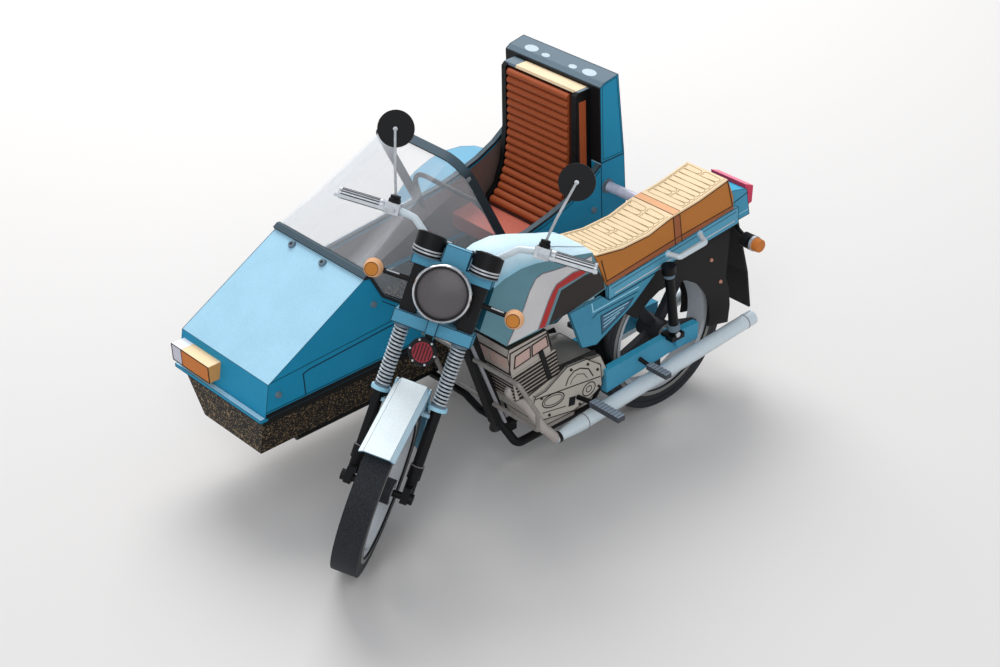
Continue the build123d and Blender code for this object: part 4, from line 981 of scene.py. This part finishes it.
def upper_link():
    strut = Piece()
    outer = (-35.2, 77, 67)
    strut.tube([outer, (-10.4, 78, 66.6)], 1.9, LINK_SILVER, 24)
    strut.drum(outer, (1, 0.04, -0.016), 2.7, -0.9, -0.5, SLATE, 28)
    strut.done("upper_link_tube", "silver", ("upper_link",))


def rear_fittings():
    """Mudguard rivets, and the caps and bolts of the dampers."""
    studs("mudguard_rivets", on_both_sides(7, ((85.5, 50.5), (60, 57.5), (90.4, 39.8))), 0.75, 0.5, COPPER)
    caps = pair()
    low, high = Vector((12.7, 61.6, 33.4)), Vector((12.7, 58.5, 61.4))
    for share, r, long in ((0.84, 1.95, 3.2), (0.06, 2.2, 2.4)):
        profile = [(0, 0), (r - 0.1, 0), (r, 0.12), (r, long - 0.12), (r - 0.1, long), (0, long)]
        caps.turned(profile, low.lerp(high, share), (high - low).normalized(), SLATE, 24)
    caps.drum((14.2, 61.6, 33.6), ACROSS, 1, 0, 0.5, SILVER, 18)
    caps.done("damper_bands", "black_card")


# ---- fork ----
LEG_X, LEG_AHEAD = 9.5, 6.9
CUP_X, CUP_AHEAD, CUP_LOW, CUP_R = 9.4, 8.8, 101.6, 4.7
CUP_SLOPE = -0.22


def fork_edges():
    for name, finish, width, fold in (
        ("lower_yoke", DUSK_BLUE, 0.12, 28), ("upper_yoke", DUSK_BLUE, 0.12, 28),
        ("front_mudguard", SLATE, 0.06, 18),
    ):
        ink_edges(NODES[name], finish, width, fold, body="fork")


def fork_springs():
    """The collars of the fork legs, and a wound spring round each leg."""
    legs = pair(FORK)
    for low, high, radius, finish, steps, bore in (
        (32.8, 37.3, 2.25, BLACK, 32, 1), (56.3, 57.5, 3.2, PALE_BLUE, 32, 1),
        (57.5, 58.2, 2.5, SLATE, 32, 1), (77.6, 79.2, 2.6, SLATE, 32, 1),
        (37.2, 37.4, 2.32, BAND_GREY, 32, 1.2), (58, 78.4, 1.75, INK, 24, 1),
    ):
        legs.drum((LEG_X, -LEG_AHEAD, 0), UP, radius, low, high, finish, steps, bore)
    legs.done("fork_leg_fittings", "silver", ("fork_springs",))
    sizes = {"Radius": 2.15 * MM, "Wire": 0.36 * MM, "Length": 19.4 * MM, "Turns": 16.0}
    for name, x in (("fork_spring_left", LEG_X), ("fork_spring_right", -LEG_X)):
        foot = bpy.data.meshes.new(name)
        foot.from_pydata([(0, 0, 0)], [], [])
        mesh = grown(name, COIL, foot, SPRING_STEEL, **sizes)
        mesh.transform(FORK.matrix @ lift(x, -LEG_AHEAD, 58.4))
        keep(name, mesh, "fork")


def instruments():
    cups = pair(FORK)
    for radius, high, finish, top, steps in (
        (CUP_R, 108.4, BLACK, NEAR_BLACK, 40), (CUP_R - 0.9, 108.62, BAND_GREY, BAND_GREY, 40),
        (CUP_R - 1.15, 108.75, INK, INK, 40), (0.7, 109, SILVER, SILVER, 16),
    ):
        ring = circle(radius, steps)
        cups.wall([(CUP_X + x, -CUP_AHEAD + y, CUP_LOW) for x, y in ring],
                  [(CUP_X + x, -CUP_AHEAD + y, high + CUP_SLOPE * y) for x, y in ring], finish, top)
    for proud, low, high, finish, bore in ((0.1, 102.7, 103.2, SILVER, 4), (0.1, 103.7, 104.2, SILVER, 4),
                                           (0.12, 101.6, 102, SLATE, 3.6)):
        cups.drum((CUP_X, -CUP_AHEAD, 0), UP, CUP_R + proud, low, high, finish, 40, bore)
    cups.done("instrument_cans", "black_card", ("instrument_cups",))
    dials = Piece(FORK)
    for x in (-CUP_X, CUP_X):
        for degrees in range(-50, 265, 35):
            c, s = math.cos(math.radians(degrees)), math.sin(math.radians(degrees))
            mark = [(x + c * r, -CUP_AHEAD + s * r, 108.78 + CUP_SLOPE * s * r) for r in (2.6, 3.2)]
            dials.tube(mark, 0.1, BAND_WHITE, 5)
        dials.tube([(x, -CUP_AHEAD, 108.95), (x - 1.6, -CUP_AHEAD + 1.4, 108.7)], 0.11, HORN_RED, 5)
    dials.done("dial_print", "black_card")


# ---- headlamp, horn and indicators ----
LAMP = (0, 0, 93.4)
HORN_AHEAD, HORN_UP = 14.2, 73.8
HORN = (0, -HORN_AHEAD, HORN_UP)
HORN_SLOTS = (1.5, 2.5, 2.9, 2.9, 2.5, 1.5)
FLASHER = (23.2, -11.4, 92.8)


def headlamp():
    rim = Piece(FORK)
    rim.turned([(8.2, 15), (8.7, 14.9), (9.2, 15.6), (9.25, 16.6), (9, 17.4), (8.7, 17.65), (8.4, 17.4),
                (8.2, 16.6)], LAMP, AHEAD, CHROME, 64)
    rim.turned([(7.7, 15), (8.35, 15), (8.35, 17.2), (7.9, 17.2)], LAMP, AHEAD, INK, 64)
    rim.done("headlamp_rim", "chrome", ("headlamp_ring",))
    glass = Piece(FORK)
    glass.turned([(0, 15), (8, 15), (8, 16.3), (6.6, 16.8), (4.4, 17.2), (2.2, 17.4), (0, 17.46)],
                 LAMP, AHEAD, LENS, 56)
    glass.done("headlamp_glass", "lens_grey", ("headlamp_lens",))
    aims = [(math.cos(math.radians(d)), math.sin(math.radians(d))) for d in (-90, 20, 160)]
    screws = [((9.0 * c, -16.4, LAMP[2] + 9.0 * s), (c, 0, s)) for c, s in aims]
    studs("headlamp_screws", screws, 0.5, 0.4, SLATE, FORK)


def horn():
    can = Piece(FORK)
    profile = [(0, -1.6), (3.4, -1.6), (3.6, -0.9), (4.3, -0.7), (4.6, -0.2), (4.6, 0.5), (4.3, 0.9),
               (0, 0.9)]
    can.turned(profile, HORN, AHEAD, BLACK)
    can.drum(HORN, AHEAD, 3.25, 0.8, 1, HORN_RED, 40)
    slot_depth = (-HORN_AHEAD - 1.12, -HORN_AHEAD - 0.95)
    for k, half in enumerate(HORN_SLOTS):
        can.box((-2.66 + k, -2.34 + k), slot_depth, (HORN_UP - half, HORN_UP + half), INK)
    can.box((-1.3, 1.3), (-11.8, -11.1), (72, 79), BLACK)
    can.done("horn_drum", "black_card", ("horn",))
    rivets = [((x, -HORN_AHEAD - 0.85, HORN_UP + z), AHEAD) for x, z in circle(4, 6)]
    studs("horn_rivets", rivets, 0.42, 0.4, SILVER, FORK)


def front_indicators():
    cones = pair(FORK)
    for profile, finish in (
        ([(0, -0.1), (2.9, -0.1), (3.1, 0.1), (3, 0.8), (2.5, 3.6), (2.3, 3.85), (0, 3.85)], PEACH),
        ([(0, 3.7), (2.05, 3.7), (2.05, 3.95), (0, 3.95)], OCHRE),
        ([(2, 3.7), (2.2, 3.7), (2.2, 3.98), (2, 3.98)], SEAT_LINE),
        ([(0, -0.7), (2.9, -0.7), (3.12, 0.1), (0, 0.1)], BLACK),
    ):
        cones.turned(profile, FLASHER, AHEAD, finish, 36)
    cones.done("indicator_cones", "peach", ("front_indicators",))
    strip = pair(FORK)
    strip.tube([(15.2, -9.95, 93.4), (19.4, -10.45, 93.4)], 0.26, SILVER, 6)
    strip.done("stalk_strip", "black_card")


# ---- bars, mirrors and clamps ----
GRIP_Y, GRIP_Z, GRIP_FLUTES = -2.2, 112.3, 12
MIRROR_FOOT_X, MIRROR = 24.4, (29, -9.2, 137)


def grips():
    sleeves = pair(BAR)
    profile = [(0, 27), (1.72, 27), (1.85, 27.3), (1.85, 28.6), (1.62, 28.8), (1.62, 41), (1.85, 41.2),
               (1.85, 41.8), (1.6, 42), (0, 42)]
    sleeves.turned(profile, (0, GRIP_Y, GRIP_Z), ACROSS, SILVER, 28)
    for y, z in circle(1.64, GRIP_FLUTES):
        sleeves.tube([(28.8, GRIP_Y + y, GRIP_Z + z), (41, GRIP_Y + y, GRIP_Z + z)], 0.2, GRIP_DARK, 5)
    sleeves.done("grip_sleeves", "knurl", ("grips",))


def mirrors():
    nuts = pair(BAR)
    for low, high, radius in ((114, 115.3, 2), (115.3, 116.4, 1.7)):
        nuts.drum((MIRROR_FOOT_X, GRIP_Y, 0), UP, radius, low, high, BLACK, 6)
    nuts.box((21.9, 26.9), (-4.5, -0.2), (110.4, 114.1), SILVER)
    nuts.done("mirror_nuts", "black_wire", bevel=0.15)
    stalks = pair(BAR)
    stalks.tube(smooth_path([(MIRROR_FOOT_X, GRIP_Y, 116), (25.6, -9, 123.6), MIRROR], 3), 0.45, SILVER, 10)
    stalks.drum((MIRROR[0], -8.3, MIRROR[2]), AHEAD, 0.7, 0, 0.9, SILVER, 16)
    stalks.done("mirror_wires", "silver", ("mirror_stalks",))


def bar_clamps():
    clamps = pair(FORK)
    clamps.box((2.8, 6.2), (-4.1, 0.3), (104.9, 106.5), BLACK)
    clamps.drum((4.5, -1.9, 106.4), UP, 0.8, 0, 0.5, SILVER, 12)
    clamps.done("bar_clamps", "black_card", bevel=0.1)


# ---- wheels ----
CAP_PROUD, CAP_RIVETS = 1.05, 5


def wheel_print(body, radius):
    """Printed rings on a wheel's faces, with its hub caps and their rivets."""
    place = wheel_frame(body)
    rings = Piece(place)
    for side in (-1, 1):
        face = side * HALF_TYRE
        for inner, outer, thick, finish in (
            (radius - 6.2, radius - 4.6, 0.12, SIDE_RING), (radius - 4.6, radius - 0.35, 0.07, SIDEWALL),
            (radius - 2.5, radius - 2.2, 0.11, INK), (radius - 6.35, radius - 6.05, 0.18, INK),
        ):
            rings.drum((0, 0, 0), ACROSS, outer, face - side * 0.3, face + side * thick, finish, 72, inner)
        rings.drum((0, 0, 0), ACROSS, 3.4, face, face + side * CAP_PROUD, SIDE_RING, 32, 1.5)
    rings.done(body + "_print", "rim_card")
    rivets = on_both_sides(HALF_TYRE + CAP_PROUD, circle(2.5, CAP_RIVETS, 0.5))
    studs(body + "_rivets", rivets, 0.4, 0.3, SILVER, place)


# ---- sidecar body, drawn about its own middle ----
HALF = (BODY_IN - BODY_OUT) / 2
HOOD_LOW, HOOD_HIGH = (-73.5, 51), (-31, 74)
HOOD_UP = (0, -0.476, 0.880)


def body_edges():
    def on_a_side(spot):
        return abs((spot - ORIGIN).x / MM - BODY_MID) > HALF - 0.1

    ink_edges(NODES["sidecar_body"], DEEP_BLUE, 0.1, where=on_a_side)
    ink_edges(NODES["back_shell"], DUSK_BLUE, 0.12)
    ink_edges(NODES["sidecar_mudguard"], SLATE, 0.07, 60)


def body_sides():
    rim = [(-26, 62.4), (-17, 55.4), (38.8, 60.8), (48, 62.8), (58, 65.8), (66, 69.4), (73.4, 74.2)]
    sides = pair(SIDECAR)
    # A black band along the foot of each side, over the hull: dark trim that also paints the shadow under the
    # body's lip.
    sides.patch([(-75.9, 39.1), (-75.7, 40.6), (86.2, 40.6), (86.3, 39.1)], HALF, 0.1, INK)
    sides.lines(
        HALF,
        (0.35, DEEP_BLUE, PROUD, [(-75.6, 41.2), (86.1, 41.2)]),
        (0.42, DUSK_BLUE, 0.1, [(-59.6, 41.2), (-59.8, 49.2), (-57.6, 49.9), (-24.6, 51.7), (72, 53.6)]),
        (0.28, DEEP_BLUE, 0.08, [(-73, 51.3), (-36.4, 52.9), (-20, 53.6)]),
        (0.3, DUSK_BLUE, PROUD, rim),
        (0.3, DUSK_BLUE, PROUD, [(74, 76.6), (74, 41.2)]),
    )
    sides.done("body_side_print", "blue_card")
    lining = pair(SIDECAR)
    lining.plate([(-29.6, 68), (-26, 62.6), (-17, 55.8), (38.8, 61.2), (48, 63.2), (58, 66.2), (66, 69.8),
                  (73.8, 75.6), (73.8, 41), (-29.6, 41)], HALF - 1.16, HALF - 1, LINING)
    lining.done("cockpit_lining", "hull_card")


def body_bolts():
    hood = []
    for x, y in ((-73.1, -34.2), (-55.9, -34.4)):
        hood.append((x - BODY_MID, y, along([HOOD_LOW, HOOD_HIGH], y)))
    studs("hood_bolts", [(spot, HOOD_UP) for spot in hood], 1.5, 0.9, SLATE, SIDECAR, 0.8, 24)
    centres = [((x, y - 0.25, z + 0.4), HOOD_UP) for x, y, z in hood]
    studs("hood_bolt_centres", centres, 0.7, 0.5, INK, SIDECAR, 0.8, 16)
    coaming = on_both_sides(HALF, ((-29.6, 62.8), (70, 60), (-70.2, 46)))
    studs("coaming_bolts", coaming, 1.2, 0.8, SLATE, SIDECAR, 0.8, 20)


def nose_lamp():
    outer, inner, split = -83.6, -62.2, -78.0
    low, high = 42.2, 48.4
    lamp = Piece()
    lamp.box((outer, split), (-79.2, -72.2), (low, high), LILAC)
    lamp.box((split, inner), (-79.2, -72.2), (low, high), LAMP_CREAM)
    lamp.box((split + 0.2, inner - 0.3), (-79.35, -79), (low + 0.4, high - 0.3), ORANGE)
    for z in (low, high):
        lamp.box((outer, inner), (-79.42, -79.1), (z - 0.12, z + 0.12), SEAT_LINE)
    for x in (outer, inner, split):
        lamp.box((x - 0.12, x + 0.12), (-79.42, -79.1), (low, high), SEAT_LINE)
    lamp.done("nose_lamp_card", "orange", ("nose_lamp_box", "nose_lamp_lens"), 0.1)


# ---- passenger's seat back and shell ----
SHELL_TOP = [(76, 107.2), (82.6, 108.4)]
RIBS_X, RIB_COUNT = -61, 18


def seat_back():
    bends = ((57.6, 54.2), (61.6, 57.9), (65.2, 66.2), (67.4, 80), (68, 101.4))
    line = bpy.data.meshes.new("seat_back_ribs")
    line.from_pydata([BIKE.matrix @ (Vector((RIBS_X, y, z)) * MM) for y, z in bends],
                     [(i, i + 1) for i in range(len(bends) - 1)], [])
    mesh = grown("seat_back_ribs", RIBS, line, RUST, Count=RIB_COUNT, Radius=1.34 * MM, Length=31.6 * MM)
    keep("seat_back_ribs", mesh, "chassis")
    edge = [(60, 56.2), (63.9, 62), (66.4, 71), (67.4, 80), (68, 101.4), (68.8, 101.4), (68.4, 80),
            (67.4, 70.6), (64.8, 61.2), (61.2, 55.6)]
    trim = Piece(SIDECAR)
    for side in (-1, 1):
        outer = side * 19.5
        trim.box(sorted((outer, outer + side * 0.15)), (68.4, 71.6), (70, 100.6), RUST)
        trim.plate(edge, *sorted((outer, outer + side * 0.1)), NEAR_BLACK)
    for x0, x1, top, finish in ((-13.2, 18.2, 104.62, BEIGE), (-19.4, -13.2, 104.5, SLATE),
                                (18.2, 19.4, 104.5, SLATE)):
        trim.plate([(68.2, 103.7), (73.9, 103.7), (73.9, top), (68.6, top)], x0, x1, finish)
    trim.box((-24.4, 24.4), (73.6, 74.05), (77.2, 105.9), INK)
    trim.done("seat_back_trim", "black_card", bevel=0.1)


def back_shell():
    top = pair(SIDECAR)
    for x, y, wide, high in ((15, 77.9, 3.2, 1.8), (7, 77.4, 1.9, 1.1)):
        spots = [(px, py, along(SHELL_TOP, py)) for px, py in oval(x, y, wide, high)]
        foot, face = ([(px, py, z + step) for px, py, z in spots] for step in (-0.3, 0.08))
        top.wall(foot, face, OVAL_GREY)
    top.done("shell_top_print", "blue_card")
    side = pair(SIDECAR)
    outline = [(75, 78), (75, 105.8), (76.4, 106.6), (81.9, 107.6), (84.4, 78)]
    side.line(outline, 0.25, HALF, DEEP_BLUE, closed=True)
    side.line([(74, 77), (85.2, 77)], 0.5, HALF, DUSK_BLUE)
    side.done("shell_side_print", "blue_card")


# ---- floor, light and camera ----
FLOOR_HALF = 3.0
LIGHT_AIM = (0, 0, 0.05)
SENSOR = 36.0
FOCAL_SHARE = 2.083
CAMERA_AWAY = 708.94
CAMERA_TARGET = (-21.3, 11.788, 40)
CAMERA_ANGLES = (49.915, 31.496, -2.445)


def floor():
    s = FLOOR_HALF
    mesh = bpy.data.meshes.new("floor")
    mesh.from_pydata([(-s, -s, 0), (s, -s, 0), (s, s, 0), (-s, s, 0)], [], [(0, 1, 2, 3)])
    m, _, bsdf = blank("floor_grey")
    feed(bsdf, {"Base Color": linear("d6d3d0"), "Roughness": 0.8})
    mesh.materials.append(m)
    link(bpy.data.objects.new("floor", mesh))


def lights():
    world = bpy.data.worlds.new("studio")
    bpy.context.scene.world = world
    world.use_nodes = True
    feed(world.node_tree.nodes["Background"], {"Color": (0.80, 0.84, 0.90, 1), "Strength": 0.62})
    for name, place, watts, width in (("window_light", (-0.55, 0.35, 0.75), 9.0, 0.7),
                                      ("front_light", (0.7, -0.7, 0.8), 5.0, 0.8)):
        light = bpy.data.lights.new(name, "AREA")
        light.energy = watts
        light.size = width
        lamp = link(bpy.data.objects.new(name, light))
        lamp.location = place
        lamp.rotation_euler = (Vector(LIGHT_AIM) - Vector(place)).to_track_quat("-Z", "Y").to_euler()
    bpy.context.scene.view_settings.view_transform = "Standard"


def camera():
    azimuth, elevation, roll = map(math.radians, CAMERA_ANGLES)
    target = ORIGIN + Vector(CAMERA_TARGET) * MM
    level = math.cos(elevation)
    back = Vector((math.sin(azimuth) * level, -math.cos(azimuth) * level, math.sin(elevation)))
    across = Vector(UP).cross(back).normalized()
    upward = back.cross(across)
    right = math.cos(roll) * across + math.sin(roll) * upward
    top = -math.sin(roll) * across + math.cos(roll) * upward
    data = bpy.data.cameras.new("camera")
    data.sensor_width = SENSOR
    data.lens = FOCAL_SHARE * SENSOR
    data.clip_start = 0.01
    data.clip_end = 20.0
    cam = link(bpy.data.objects.new("camera", data))
    cam.matrix_world = Matrix.Translation(target + back * CAMERA_AWAY * MM) @ axes(right, top, back)
    bpy.context.scene.camera = cam


for make in (tank, tank_stripes, seat, seat_top, seat_rail, side_panels, tail, engine, cylinder_fins,
             engine_cover, engine_front, exhaust, rails_and_bars, foot_rests, rear_indicators, upper_link,
             rear_fittings, fork_edges, fork_springs, instruments, headlamp, horn, front_indicators, grips,
             mirrors, bar_clamps):
    make()
for wheel, wheel_radius in WHEELS.items():
    wheel_print(wheel, wheel_radius)
for make in (body_edges, body_sides, body_bolts, nose_lamp, seat_back, back_shell, down_tube, floor, lights,
             camera):
    make()
